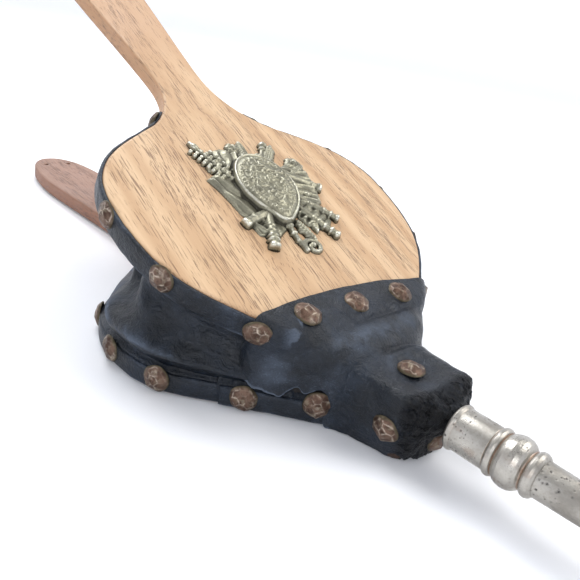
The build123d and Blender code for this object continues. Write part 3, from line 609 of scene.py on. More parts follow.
def bag_leather(material):
    """The bag between the boards: full and rolled over in its lower half, drawn in under the top board."""
    # Both paths have as many points, so that the wall runs straight up from one to the other.
    path, out = bag_path(LOWER_RIM, LOWER_BAND_REAR, 12.0, 150)
    upper_path, upper_out = bag_path(TOP_RIM, BAND_REAR, 9.5, 150)
    run = np.concatenate([[0], np.cumsum(np.linalg.norm(np.diff(path, axis=0), axis=1))])
    v = np.linspace(0, 1, 86)[:, None]
    u = run[None, :]
    behind = -path[None, :, 0]
    near_side = np.where(path[None, :, 1] < 0, 1.0, -1.0)
    tall = smooth(behind, -10, 60)
    rear = smooth(behind, LOWER_BAND_REAR - 12, LOWER_BAND_REAR - 2)
    # How far the wall stands out at each level; sixty levels round its corners off.
    level, reach = np.transpose([(0.0, 0.6), (0.05, 1.2), (0.09, -0.9), (0.15, 1.9), (0.23, 3.2), (0.33, 1.4),
                                 (0.5, -4.2), (0.7, -8.0), (0.87, -7.0), (1.0, -0.6)])
    levels = np.linspace(0, 1, 60)
    profile = np.interp(v, levels, np.interp(levels, level, reach))
    slack = np.sin(math.pi * np.clip(v, 0, 1)) ** 0.8
    shift = profile * (0.45 + 0.55 * tall) - 4.0 * rear * np.sin(math.pi * v)
    drawn = 13.0 * smooth(behind, 30, 80) + 9.0 * smooth(behind, 70, 105)
    shift = shift - drawn * smooth(v, 0.13, 0.5) * (1 - smooth(v, 0.72, 1.0))
    shift = shift - 9.0 * smooth(behind, 54, 80) * smooth(v, 0.02, 0.15) * (1 - smooth(v, 0.28, 0.5))
    points = np.stack(np.broadcast_arrays(u, 40 * v, np.zeros((1, 1))), -1)
    drift = fractal(points, 42.0, 11, 2)
    folds = np.zeros_like(points[..., 0])
    # Each fold: its distance behind x = 0, how far it leans back on its way up, its depth and its width.
    for at, lean, deep, wide in ((58.0, 26.0, -5.5, 9.0), (78.0, 20.0, 4.0, 9.0), (96.0, 30.0, -3.5, 8.0),
                                 (112.0, 14.0, 2.6, 7.0), (40.0, 34.0, 2.8, 10.0), (22.0, 30.0, -2.2, 8.0)):
        middle = at + lean * (v - 0.45) + 5 * drift + 6 * (near_side < 0)
        folds = folds + deep * bump(behind, middle, wide) * smooth(v, 0.12, 0.55) * (1 - smooth(v, 0.92, 1.0))
    ridge = bump(v, 0.25 + 0.05 * drift + 0.03 * np.sin(u / 23.0), 0.07) * 3.4
    valley = bump(v, 0.115, 0.05) * -1.8
    fine = fractal(points * (1, 3.0, 1), 16.0, 23, 4) * 1.5
    wrinkle = np.sin((u + 34 * v + 10 * drift) / 2.6) * bump(v, 0.42, 0.24) * 0.28 * smooth(drift, -0.1, 0.5)
    loose = folds * tall + ridge * (0.35 + 0.65 * tall) + fine + wrinkle + 2.2 * drift
    shift = shift + slack * loose + valley * tall
    lower = on_bottom_board(path[None, :, 0], path[None, :, 1], BAG_FOOT)
    upper = on_top_board(upper_path[None, :, 0], upper_path[None, :, 1], BAG_HEAD)
    lean_out = unit(out[None] * (1 - v[..., None]) + upper_out[None] * v[..., None])
    lean_out = np.concatenate([lean_out, np.zeros_like(lean_out[..., :1])], -1)
    wall = lower * (1 - v[..., None]) + upper * v[..., None]
    outer = wall + lean_out * (shift - 0.2)[..., None]
    # Painted highlight: pale streaked colour laid along the bulge's ridge low on the wall and on the crests
    # of the outward folds.
    highlight_streaks = smooth(fractal(points * (0.35, 1.6, 1), 5.0, 31, 3), -0.25, 0.35)
    wear_and_highlight = 1.3 * highlight_streaks * bump(v, 0.25 + 0.05 * drift, 0.075) * smooth(behind, 2, 30)
    wear_and_highlight = wear_and_highlight + 0.5 * highlight_streaks * smooth(folds, 1.0, 3.5)
    spot = (40, 60)
    inward = inward_sign(outer, spot, lean_out[spot])
    bag = thick_sheet("bag_leather", outer, 1.6, material, {"wear_and_highlight": wear_and_highlight}, inward)
    settle(bag, "base", "leather", "gusset_leather")
    blended(bag)


def blended(piece):
    """Frees the sheet from its body and bakes its place into its mesh."""
    piece.parent = None
    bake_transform(piece)


def band_leather(name, rim, place_on, material, body, node, seed, rear, front, low, high, layer=0.0):
    """A worn leather band on a board's edge, its section rounded at the edges and a little wavy."""
    parts = []
    wear_and_highlight = []
    half = (high - low) / 2
    for side in (1, -1):
        stations = rim_stations(rim, rear, front, 1.1)
        place, out = rim_at(rim, stations, side)
        run = np.concatenate([[0], np.cumsum(np.linalg.norm(np.diff(place, axis=0), axis=1))])[:, None]
        across = np.array([[-1, -0.97, -0.86, -0.6, -0.3, 0, 0.3, 0.6, 0.86, 0.97, 1, 0.97, 0, -0.97]])
        face = np.array([[0.3, 1.1, 1.55, 1.75, 1.8, 1.8, 1.8, 1.75, 1.55, 1.1, 0.3, 0, 0, 0]])
        spot = np.stack(np.broadcast_arrays(run * side, across * half, np.zeros((1, 1))), -1)
        wave = fractal(spot, 24.0, seed, 2)
        fringe = fractal(spot * (1, 0, 1) + (0, 9.0, 0), 5.0, seed + 5, 3)
        sway = fractal(spot * (1, 0, 1), 40.0, seed + 3, 2)
        height = (low + high) / 2 + across * (half + 0.28 * fringe) + 0.35 * sway
        bulge = face + layer + (face > 0.2) * (0.35 * wave + 0.12 * fractal(spot, 3.0, seed + 8, 2))
        plan = place[:, None, :] + out[:, None, :] * bulge[..., None]
        section = place_on(plan[..., 0], plan[..., 1], height)
        parts.append(swept(section, flip=side > 0))
        edge = bump(across, -0.93, 0.12) * 0.75 + bump(across, 0.93, 0.12) * 0.3
        wear_and_highlight.append((edge + 0.25 * smooth(wave, 0.1, 0.7) + 0 * run).ravel())
    points, faces = joined(parts)
    piece = make_piece(name, points, faces, material, {"wear_and_highlight": np.concatenate(wear_and_highlight)})
    return settle(piece, body, "leather", node)


def torn_lining(material):
    """What is left of the bag's lower edge in front, torn off ragged above the strip."""
    rows, columns = 26, 130
    v = np.linspace(0, 1, rows)[:, None]
    for side, name in ((-1, "torn_lining_near"), (1, "torn_lining_far")):
        stations = np.interp(np.linspace(0, 1, columns), (0, 1), (9.0, -28.0))
        place, out = rim_at(LOWER_RIM, stations, side)
        spot = np.stack([stations, 0 * stations, np.full(columns, 5.0 * side)], -1)
        tall = 3.6 + 2.2 * fractal(spot, 5.0, 151, 3) + 1.6 * fractal(spot, 1.7, 157, 2)
        height = 8.0 + v * tall[None]
        inset = 1.25 - 2.4 * v ** 1.5 + 0.9 * v * fractal(spot, 6.0, 163, 2)[None]
        plan = place[None] + out[None] * inset[..., None]
        surface = on_bottom_board(plan[..., 0], plan[..., 1], height)
        wear_and_highlight = 0.9 * smooth(v, 0.8, 1.0) + 0 * height
        piece = thick_sheet(name, surface, 0.9, material, {"wear_and_highlight": wear_and_highlight}, inward=float(side))
        settle(piece, "base", "leather")


# ---- The front leather ----
# Its shape is a net of points, one row for each station from the board forward and one column for
# each step from the middle down the near side: (x, distance from the middle, z).
FRONT_NET = [
    [(-1.9, 0, 46.7), (-1.6, 14, 46.6), (-0.7, 28, 46.3), (0.8, 40, 45.6), (1.7, 48.6, 44.9),
     (1.9, 52.4, 41.5), (0.0, 53.6, 37.0), (-4.5, 52.4, 28.5), (-11.0, 52.4, 15.5)],
    [(4.6, 0, 44.3), (4.6, 14, 44.3), (4.7, 28, 44.2), (5.0, 39, 43.9), (5.4, 46.4, 43.2),
     (6.3, 48.6, 39.8), (5.0, 49.1, 35.5), (2.6, 49.8, 27.0), (-1.0, 50.4, 13.0)],
    [(9.0, 0, 42.7), (9.0, 14, 42.7), (9.1, 28, 42.5), (9.4, 36, 42.0), (9.8, 42.2, 41.0),
     (10.4, 44.2, 37.2), (9.6, 44.8, 31.0), (8.4, 45.0, 22.5), (7.2, 45.6, 12.2)],
    [(12.4, 0, 41.0), (12.3, 14, 40.9), (12.2, 27, 40.6), (12.4, 34, 39.8), (12.9, 38.3, 38.2),
     (13.4, 39.9, 34.0), (13.2, 40.6, 28.0), (12.8, 41.0, 20.0), (12.4, 41.0, 12.2)],
    [(15.7, 0, 39.3), (15.8, 14, 39.2), (16.2, 26, 38.5), (16.6, 31.5, 36.9), (17.0, 34.9, 34.2),
     (17.2, 36.3, 30.4), (17.2, 36.8, 26.0), (17.1, 36.4, 21.0), (17.0, 35.8, 15.8)],
    [(21.0, 0, 37.3), (21.1, 12, 36.9), (21.6, 23, 35.6), (21.9, 27.6, 34.2), (22.2, 30.4, 31.4),
     (22.3, 31.4, 27.4), (22.2, 31.4, 23.4), (22.1, 30.8, 19.4), (22.0, 30.0, 15.6)],
    [(25.7, 0, 34.9), (25.8, 11, 34.4), (26.0, 19.6, 32.9), (26.0, 23.8, 30.9), (26.2, 26.6, 28.0),
     (26.3, 27.5, 24.5), (26.2, 27.4, 21.0), (25.8, 27.3, 17.0), (25.4, 27.4, 13.2)],
    [(28.6, 0, 33.6), (28.6, 10, 33.2), (28.7, 17.8, 31.7), (28.8, 21.8, 29.4), (28.9, 24.2, 26.3),
     (28.7, 25.3, 21.5), (27.8, 26.0, 15.0), (26.4, 27.0, 8.0), (25.8, 27.2, 1.2)],
    [(31.0, 0, 32.7), (31.0, 9, 32.4), (31.0, 16.6, 31.0), (31.0, 20.4, 28.7), (31.0, 22.6, 25.5),
     (31.2, 23.0, 21.0), (31.0, 23.4, 15.0), (30.6, 23.9, 8.0), (30.4, 23.6, 0.8)],
    [(41.6, 0, 30.2), (41.6, 8, 30.5), (41.6, 14, 30.4), (41.6, 18.2, 29.3), (41.5, 20.3, 26.4),
     (41.5, 20.9, 21.5), (41.5, 20.8, 14.5), (41.5, 20.4, 7.0), (41.5, 18.4, 0.8)],
    [(51.6, 0, 29.3), (51.6, 8, 29.9), (51.7, 13, 30.5), (51.8, 17.8, 30.6), (51.9, 20.3, 27.8),
     (51.9, 20.4, 21.8), (51.8, 19.9, 14.2), (51.6, 19.2, 7.0), (51.2, 16.8, 0.8)],
    [(57.0, 0, 28.9), (57.2, 8, 30.0), (57.6, 13.6, 31.0), (57.8, 17.6, 30.8), (57.8, 19.6, 27.8),
     (57.8, 19.2, 21.5), (58.0, 17.6, 13.6), (58.4, 15.2, 6.8), (57.6, 12.6, 1.0)],
    [(61.4, 0, 27.0), (61.6, 6.4, 27.6), (61.6, 10.8, 27.6), (61.6, 14.2, 26.2), (61.6, 15.8, 23.0),
     (61.6, 15.0, 17.8), (61.0, 13.2, 11.6), (60.5, 10.6, 6.0), (59.8, 7.4, 1.2)],
    [(65.0, 0, 25.6), (65.6, 2.6, 25.2), (66.0, 4.8, 24.0), (66.2, 6.4, 22.2), (66.2, 7.0, 20.0),
     (64.8, 6.6, 16.2), (61.8, 5.0, 11.0), (60.6, 3.4, 6.0), (60.0, 1.8, 1.0)],
    [(65.4, 0, 23.6), (65.8, 0.9, 23.0), (66.2, 1.7, 22.0), (66.4, 2.4, 20.8), (66.4, 2.6, 19.4),
     (65.0, 2.2, 15.6), (61.6, 1.4, 10.8), (60.6, 0.7, 6.0), (60.2, 0.0, 1.0)],
]


def front_leather(material):
    """The front leather: the net's smooth shape with its folds, tar, wrinkles and torn edge."""
    half = np.array(FRONT_NET)
    net = np.concatenate([half[:, :0:-1], half * (1, -1, 1)], axis=1)
    rows, columns = 300, 300
    surface = np.swapaxes(through(net, rows), 0, 1)
    surface = np.swapaxes(through(surface, columns), 0, 1)
    normal = grid_normals(surface)
    if normal[rows // 2, columns // 2, 2] < 0:
        normal = -normal
    x, y, z = (surface[..., i] for i in range(3))
    slope = np.linspace(0, 1, rows)[:, None] + 0 * x
    edge = np.abs(np.linspace(-1, 1, columns))[None, :] + 0 * x
    near = smooth(-y, 2, 12)
    # Folds over the hinge: a rubbed roll, the crease under it and a flap on the far side.
    on_slope = smooth(x, 12.5, 17) * (1 - smooth(x, 30, 36))
    drift = fractal(surface, 26.0, 41, 3)
    far_half = smooth(y, -15, 4)
    lift = 0.9 * bump(x + 0.05 * y, 22.0 + 1.5 * drift, 4.0)
    crease = 1.2 * bump(x + 0.02 * y, 30.2 + 1.4 * drift, 1.6)
    lift -= far_half * (crease - 0.5 * bump(x, 33.2 + 1.4 * drift, 1.6))
    lift -= (0.25 + 0.75 * far_half) * 0.9 * bump(x + 0.04 * y, 15.2 + 0.8 * drift, 1.2)
    lift = lift * (1 - 0.6 * smooth(np.abs(y), 24, 34)) * smooth(z, 26, 31)
    lift += 0.8 * near * bump(x + 0.25 * (z - 20), 37.0, 6.0) * smooth(-z, -27, -22)
    lift += 0.8 * bump(y + 0.5 * (x - 8), 6.0, 7.0) * bump(x, 7.0, 6.0)
    dish = np.sqrt((x - 41.5) ** 2 + y ** 2)
    lift -= 1.0 * bump(dish, 7.0, 4.0) * (z > 26)
    lift += 1.1 * smooth(y, 8, 18) * bump(x, 40, 9)
    # Old tar and glue stand in lumps round the nozzle; elsewhere the leather is only wrinkled.
    lumps = smooth(x, 53.5, 59.0)
    ragged = fractal(surface, 3.4, 61, 4)
    lift += lumps * (0.8 * ragged + 0.8 * np.maximum(fractal(surface, 1.5, 67, 3), 0))
    crack = np.abs(fractal(surface * (1, 1.2, 1), 6.0, 71, 4))
    lift -= lumps * 0.7 * bump(crack, 0, 0.05)
    wrinkles = fractal(surface * (1.0, 0.45, 1.0), 5.5, 47, 3)
    fibres = fractal(surface * (0.6, 1.5, 1.5), 1.9, 53, 3)
    lift += (1 - lumps) * (0.32 * wrinkles + 0.45 * drift + 0.09 * fibres)
    lift += np.sin((y * 0.8 + z * 0.9 + 3 * drift) / 1.25) * 0.16 * near * smooth(-z, -34, -24) * (x < 27)
    scab = smooth(fractal(surface, 7.0, 83, 4), -0.02, 0.14) * bump(x + 0.9 * (y + 33), 11.0, 8)
    scab = scab * near * smooth(z, 31, 37)
    lift += scab * 0.55 * fractal(surface, 1.6, 89, 3) + 0.2 * scab
    surface = surface + normal * lift[..., None]
    # The lower edge is torn on the near side and a little ragged elsewhere; the rear edge is tucked in.
    fray = smooth(edge, 0.86, 1.0)
    tatter = fractal(np.stack([x, 0 * x, 0 * x + 3.0], -1), 3.2, 97, 4)
    torn = near * (1 - smooth(x, 22, 29))
    surface[..., 2] += fray * (tatter * (0.35 + 2.3 * torn) - 0.2)
    flap = smooth(edge, 0.9, 1.0) * torn
    surface[..., 1] += flap * fractal(np.stack([x, 0 * x, 0 * x + 8.0], -1), 4.0, 101, 3) * 1.6
    rear = 1 - smooth(slope, 0.0, 0.03)
    tuck = (1 - smooth(slope, 0.0, 0.06)) * smooth(-z, -40, -36) * 2.6
    surface[..., 1] -= tuck * np.sign(y)
    surface[..., 0] += rear * 0.25 * fractal(surface * (0, 1, 1), 6.0, 103, 3)
    wear_and_highlight = 0.8 * on_slope * bump(x + 0.05 * y, 22.0, 4.5) * (1 - smooth(np.abs(y), 20, 32))
    wear_and_highlight += 1.1 * scab + 0.5 * bump(x, 6.0, 3.5) * bump(y, 0, 22) * smooth(drift, -0.3, 0.4)
    scuffs = smooth(z, 10, 17) * (1 - smooth(z, 26, 33)) * smooth(fractal(surface, 12.0, 107, 3), -0.35, 0.25)
    wear_and_highlight += 0.5 * torn * smooth(slope, 0.03, 0.16) * scuffs
    wear_and_highlight += 1.4 * near * (x < 28) * smooth(edge, 0.975, 1.0) + 0.35 * bump(dish, 8.5, 2.5) * (z > 26)
    wear_and_highlight += 0.5 * lumps * smooth(ragged, 0.15, 0.45)
    inward = inward_sign(surface, (rows // 3, columns // 2), (0, 0, 1))
    attributes = {"wear_and_highlight": np.clip(wear_and_highlight, 0, 1.5), "tar": lumps}
    piece = thick_sheet("front_leather", surface, 1.6, material, attributes, inward)
    settle(piece, "base", "leather", "nose_apron")
    blended(piece)


def inner_hinge(material):
    """The strip inside: under the top board's front and down the back of the nose block."""
    low, high = (np.array(corner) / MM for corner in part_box("hinge_leather"))
    rear = on_top_board(-10.5, 0.0, -0.9)
    front = on_top_board(7.0, 0.0, -0.9)
    bend = on_top_board(9.6, 0.0, -1.0)
    line = [rear, (rear + front) / 2, front, bend, (11.7, 0, 25.5), (11.7, 0, low[2] + 0.3)]
    profile = through(line, 40)
    y = np.linspace(0.2 - high[1], high[1] - 0.2, 60)
    surface = profile[:, None, :] * (1, 0, 1) + np.stack([0 * y, y, 0 * y], -1)[None]
    surface = surface + grid_normals(surface) * (0.15 * fractal(surface, 9.0, 131, 3))[..., None]
    piece = thick_sheet("inner_hinge", surface, 1.1, material)
    settle(piece, "base", "inner_leather", "hinge_leather")
    blended(piece)


# ---- Nails ----
NAIL_RADIUS = 6.0
NAIL_DOME = 2.7
LEATHER = 1.8
# Heights of the rim nails above a board's lower face: the far side's sit lower on the top board's edge.
TOP_NAILS = 5.5
TOP_FAR_NAILS = 3.3
LOWER_NAILS = 6.3


def hammered_head(seat, outward, seed):
    """One hammered nail head: points, faces, and how near each point is to a facet's ridge and to the rim."""
    rng = np.random.default_rng(seed)
    outward = unit(np.array(outward, float))
    across = unit(np.cross(outward, (0.3, 0.2, 1.0) if abs(outward[2]) < 0.9 else (1.0, 0.1, 0.0)))
    other = np.cross(outward, across)
    rings, spokes = 30, 72
    r = np.linspace(0, 1, rings)[:, None] ** 0.9
    a = np.linspace(0, 2 * math.pi, spokes, endpoint=False)[None, :]
    lobes = [deep * np.sin(a * count + rng.uniform(0, 6)) for count, deep in ((2, 0.018), (5, 0.014))]
    edge = NAIL_RADIUS * (1 + lobes[0] + lobes[1])
    x, y = r * edge * np.cos(a), r * edge * np.sin(a)
    round_radius = (NAIL_RADIUS ** 2 + NAIL_DOME ** 2) / (2 * NAIL_DOME)
    centres = [(rng.uniform(-0.1, 0.1), rng.uniform(-0.1, 0.1))]
    inner = rng.integers(4, 7)
    start = rng.uniform(0, 6)
    for k in range(inner):
        angle = start + (k + rng.uniform(-0.28, 0.28)) * 2 * math.pi / inner
        reach = rng.uniform(0.42, 0.7)
        centres.append((reach * math.cos(angle), reach * math.sin(angle)))
    for k in range(inner + 2):
        angle = start + 0.4 + (k + rng.uniform(-0.35, 0.35)) * 2 * math.pi / (inner + 2)
        centres.append((0.96 * math.cos(angle), 0.96 * math.sin(angle)))
    planes = []
    for cx, cy in centres:
        px, py = cx * NAIL_RADIUS, cy * NAIL_RADIUS
        pz = math.sqrt(round_radius ** 2 - px ** 2 - py ** 2)
        top = pz - (round_radius - NAIL_DOME) + rng.uniform(-0.22, 0.05)
        planes.append(top - (px * (x - px) + py * (y - py)) / pz)
    planes = np.sort(np.array(planes), axis=0)
    z = planes[0] - 0.05 * np.exp(-((planes[1] - planes[0]) / 0.1) ** 2)
    ridge = np.exp(-((planes[1] - planes[0]) / 0.11) ** 2)
    flat = np.stack(np.broadcast_arrays(x, y, np.full_like(z, seed * 3.0)), -1)
    pits = np.minimum(fractal(flat, 0.9, seed + 7, 3), 0)
    z = z + 0.09 * fractal(flat, 1.6, seed, 3) + 0.12 * pits
    rim = smooth(r + 0.05 * fractal(flat, 2.2, seed + 5, 2), 0.88, 0.98)
    z = z * (1 - smooth(r, 0.93, 1.0) * 0.75)
    ridge = np.maximum(ridge * (1 - rim), 0.5 * smooth(fractal(flat, 2.6, seed + 3, 3), 0.15, 0.5))
    place = np.asarray(seat) + x[..., None] * across + y[..., None] * other + z[..., None] * outward
    skirt = np.asarray(seat) + (x[-1:, :, None] * across + y[-1:, :, None] * other) * 0.97 - 0.35 * outward
    grid = np.concatenate([place[1:], skirt])
    points = np.concatenate([grid.reshape(-1, 3), place[:1, 0]])
    middle = len(points) - 1
    faces = [list(f) for f in grid_faces(rings, spokes, wrap=True)]
    faces += [[middle, k, (k + 1) % spokes] for k in range(spokes)]
    faces.append([(rings - 1) * spokes + k for k in range(spokes)][::-1])
    ridge = np.concatenate([ridge[1:].ravel(), np.zeros(spokes), ridge[0, :1]])
    rim = np.concatenate([rim[1:].ravel(), np.ones(spokes), rim[0, :1]])
    return points, faces, ridge, rim


def nails(name, node, body, seats, material, seed):
    heads = [hammered_head(seat, outward, seed + 13 * k) for k, (seat, outward) in enumerate(seats)]
    points, faces = joined([head[:2] for head in heads])
    ridge, rim = (np.concatenate([head[i] for head in heads]) for i in (2, 3))
    piece = make_piece(name, points, faces, material, {"ridge": ridge, "rim": rim})
    return settle(piece, body, "nail_bronze", node)


def rim_seats(rim, stations, height, leathers, place_on, sides=(1, -1)):
    """Where nails sit on a board's edge, and which way they face."""
    seats = []
    for behind in stations:
        for side in sides:
            place, out = rim_at(rim, np.array(behind), side)
            plan = place + out * leathers * LEATHER
            seat = place_on(plan[0], plan[1], height)
            ahead = place_on(plan[0] + out[0], plan[1] + out[1], height)
            seats.append((seat, ahead - seat))
    return seats


def all_nails(material):
    near = rim_seats(TOP_RIM, (33.5, 70.0, 131.0), TOP_NAILS, 1, on_top_board, (-1,))
    far = rim_seats(TOP_RIM, (33.5, 70.0, 104.0, 131.0), TOP_FAR_NAILS, 1, on_top_board, (1,))
    nails("top_rim_nail_heads", "top_rim_nails", "upper_board", near + far, material, 100)
    lower = rim_seats(LOWER_RIM, (27.0, 55.0, 84.0, 110.0), LOWER_NAILS, 1, on_bottom_board)
    nails("bottom_rim_nail_heads", "bottom_rim_nails", "base", lower, material, 300)
    up = on_top_board(0.0, 0.0, 1.0) - on_top_board(0.0, 0.0, 0.0)
    flat = [(on_top_board(2.4, y, BOARD_THICKNESS + LEATHER + 0.3), up) for y in (-28.3, 0.0, 28.3)]
    near = rim_seats(TOP_RIM, (1.0,), TOP_NAILS, 2, on_top_board, (-1,))
    far = rim_seats(TOP_RIM, (1.0,), TOP_FAR_NAILS, 2, on_top_board, (1,))
    nails("apron_nail_heads", "apron_nails", "upper_board", flat + near + far, material, 500)
    shoulder = rim_seats(LOWER_RIM, (1.0,), LOWER_NAILS, 2, on_bottom_board)
    taper = [((22.8, side * 29.6, 9.9), (1.0, side * 1.0, 0.0)) for side in (1, -1)]
    nails("strip_nail_heads", "strip_nails", "base", shoulder + taper, material, 700)
    nose = [((41.5, 0.0, 30.0), (-0.02, 0.02, 1.0)), ((50.3, 19.7, 13.4), (0.15, 1.0, -0.2)),
            ((50.3, -19.7, 13.4), (0.15, -1.0, -0.2)), ((61.0, 1.5, 8.5), (1.0, 0.05, -0.05))]
    nails("nose_nail_heads", "nose_nails", "base", nose, material, 900)


# ---- Nozzle ----
def lathe(name, profile, rings, material, node, seed, pits):
    """A turned piece about the nozzle's axis, pitted and a little out of true."""
    spokes = 160
    profile = np.asarray(profile, float)
    run = np.concatenate([[0], np.cumsum(np.linalg.norm(np.diff(profile, axis=0), axis=1))])
    at = np.linspace(0, run[-1], rings)
    u = np.interp(at, run, profile[:, 0])[:, None]
    r = np.interp(at, run, profile[:, 1])[:, None]
    angle = np.linspace(0, 2 * math.pi, spokes, endpoint=False)[None, :]
    axis = NOZZLE_AXIS
    across = unit(np.cross(axis, (0, 0, 1.0)))
    other = np.cross(across, axis)
    spot = np.stack(np.broadcast_arrays(u, r * np.cos(angle), r * np.sin(angle)), -1)
    gap, mark = cells(spot, 2.1, seed)
    patch = smooth(fractal(spot, 9.0, seed + 2, 3), -0.05, 0.35)
    pit = (1 - smooth(gap, 0.10, 0.34)) * (mark > 1 - pits) * (0.25 + 0.75 * patch)
    gap, mark = cells(spot, 0.9, seed + 20)
    pit = np.maximum(pit, (1 - smooth(gap, 0.15, 0.4)) * (mark > 0.9) * patch)
    radius = r - 0.22 * pit + 0.05 * fractal(spot, 6.0, seed + 5, 3)
    place = NOZZLE_SEAT + u[..., None] * axis + radius[..., None] * (
        np.cos(angle)[..., None] * across + np.sin(angle)[..., None] * other)
    smoothed = np.convolve(np.pad(r[:, 0], 6, mode="edge"), np.ones(13) / 13, "valid")[:, None]
    stain = smooth(fractal(spot * (0.4, 1, 1), 5.0, seed + 9, 3), 0.2, 0.5)
    groove = smooth(smoothed - r, 0.05, 0.3) + 0.35 * stain
    faces = grid_faces(rings, spokes, wrap=True)
    first, last = np.arange(spokes), np.arange(spokes) + (rings - 1) * spokes
    seam = np.stack([last, np.roll(last, -1), np.roll(first, -1), first], -1)
    piece = make_piece(name, place, np.concatenate([faces, seam]), material,
                       {"pit": np.clip(pit, 0, 1), "groove": np.clip(groove + 0 * angle, 0, 1)})
    return settle(piece, "base", "nozzle_metal", node)


def nozzle(material):
    # Profiles as (distance along the axis from the seat, radius): lip, ferrule, ring, bulb and ring.
    collar = [(-9.0, 4.2), (-9.0, 4.6), (-1.1, 4.7), (-1.3, 8.0), (-0.9, 9.1), (-0.2, 9.6), (0.5, 9.5),
              (1.1, 9.0), (1.5, 8.8), (8.0, 8.85), (15.3, 8.8), (15.5, 8.6), (15.8, 9.2), (16.6, 9.7),
              (17.6, 9.7), (18.5, 9.2), (18.8, 8.5), (19.1, 8.6), (20.3, 9.5), (21.8, 10.15), (23.8, 10.4),
              (25.8, 10.15), (27.4, 9.4), (28.5, 8.4), (29.0, 7.7), (29.5, 7.5), (29.9, 7.7), (30.3, 8.4),
              (31.1, 8.85), (32.2, 8.9), (33.2, 8.5), (34.0, 7.8), (34.3, 7.3), (34.3, 6.5)]
    lathe("worn_collar", collar, 330, material, "nozzle_collar", 211, 0.28)
    taper_end = NOZZLE_END - 12.0
    tube = [(31.0, 6.6), (34.3, 7.2), (taper_end, 4.25), (NOZZLE_END - 0.3, 4.2), (NOZZLE_END, 3.9),
            (NOZZLE_END, 3.1), (taper_end, 3.0), (31.0, 3.4)]
    lathe("worn_tube", tube, 620, material, "nozzle_tube", 223, 0.5)


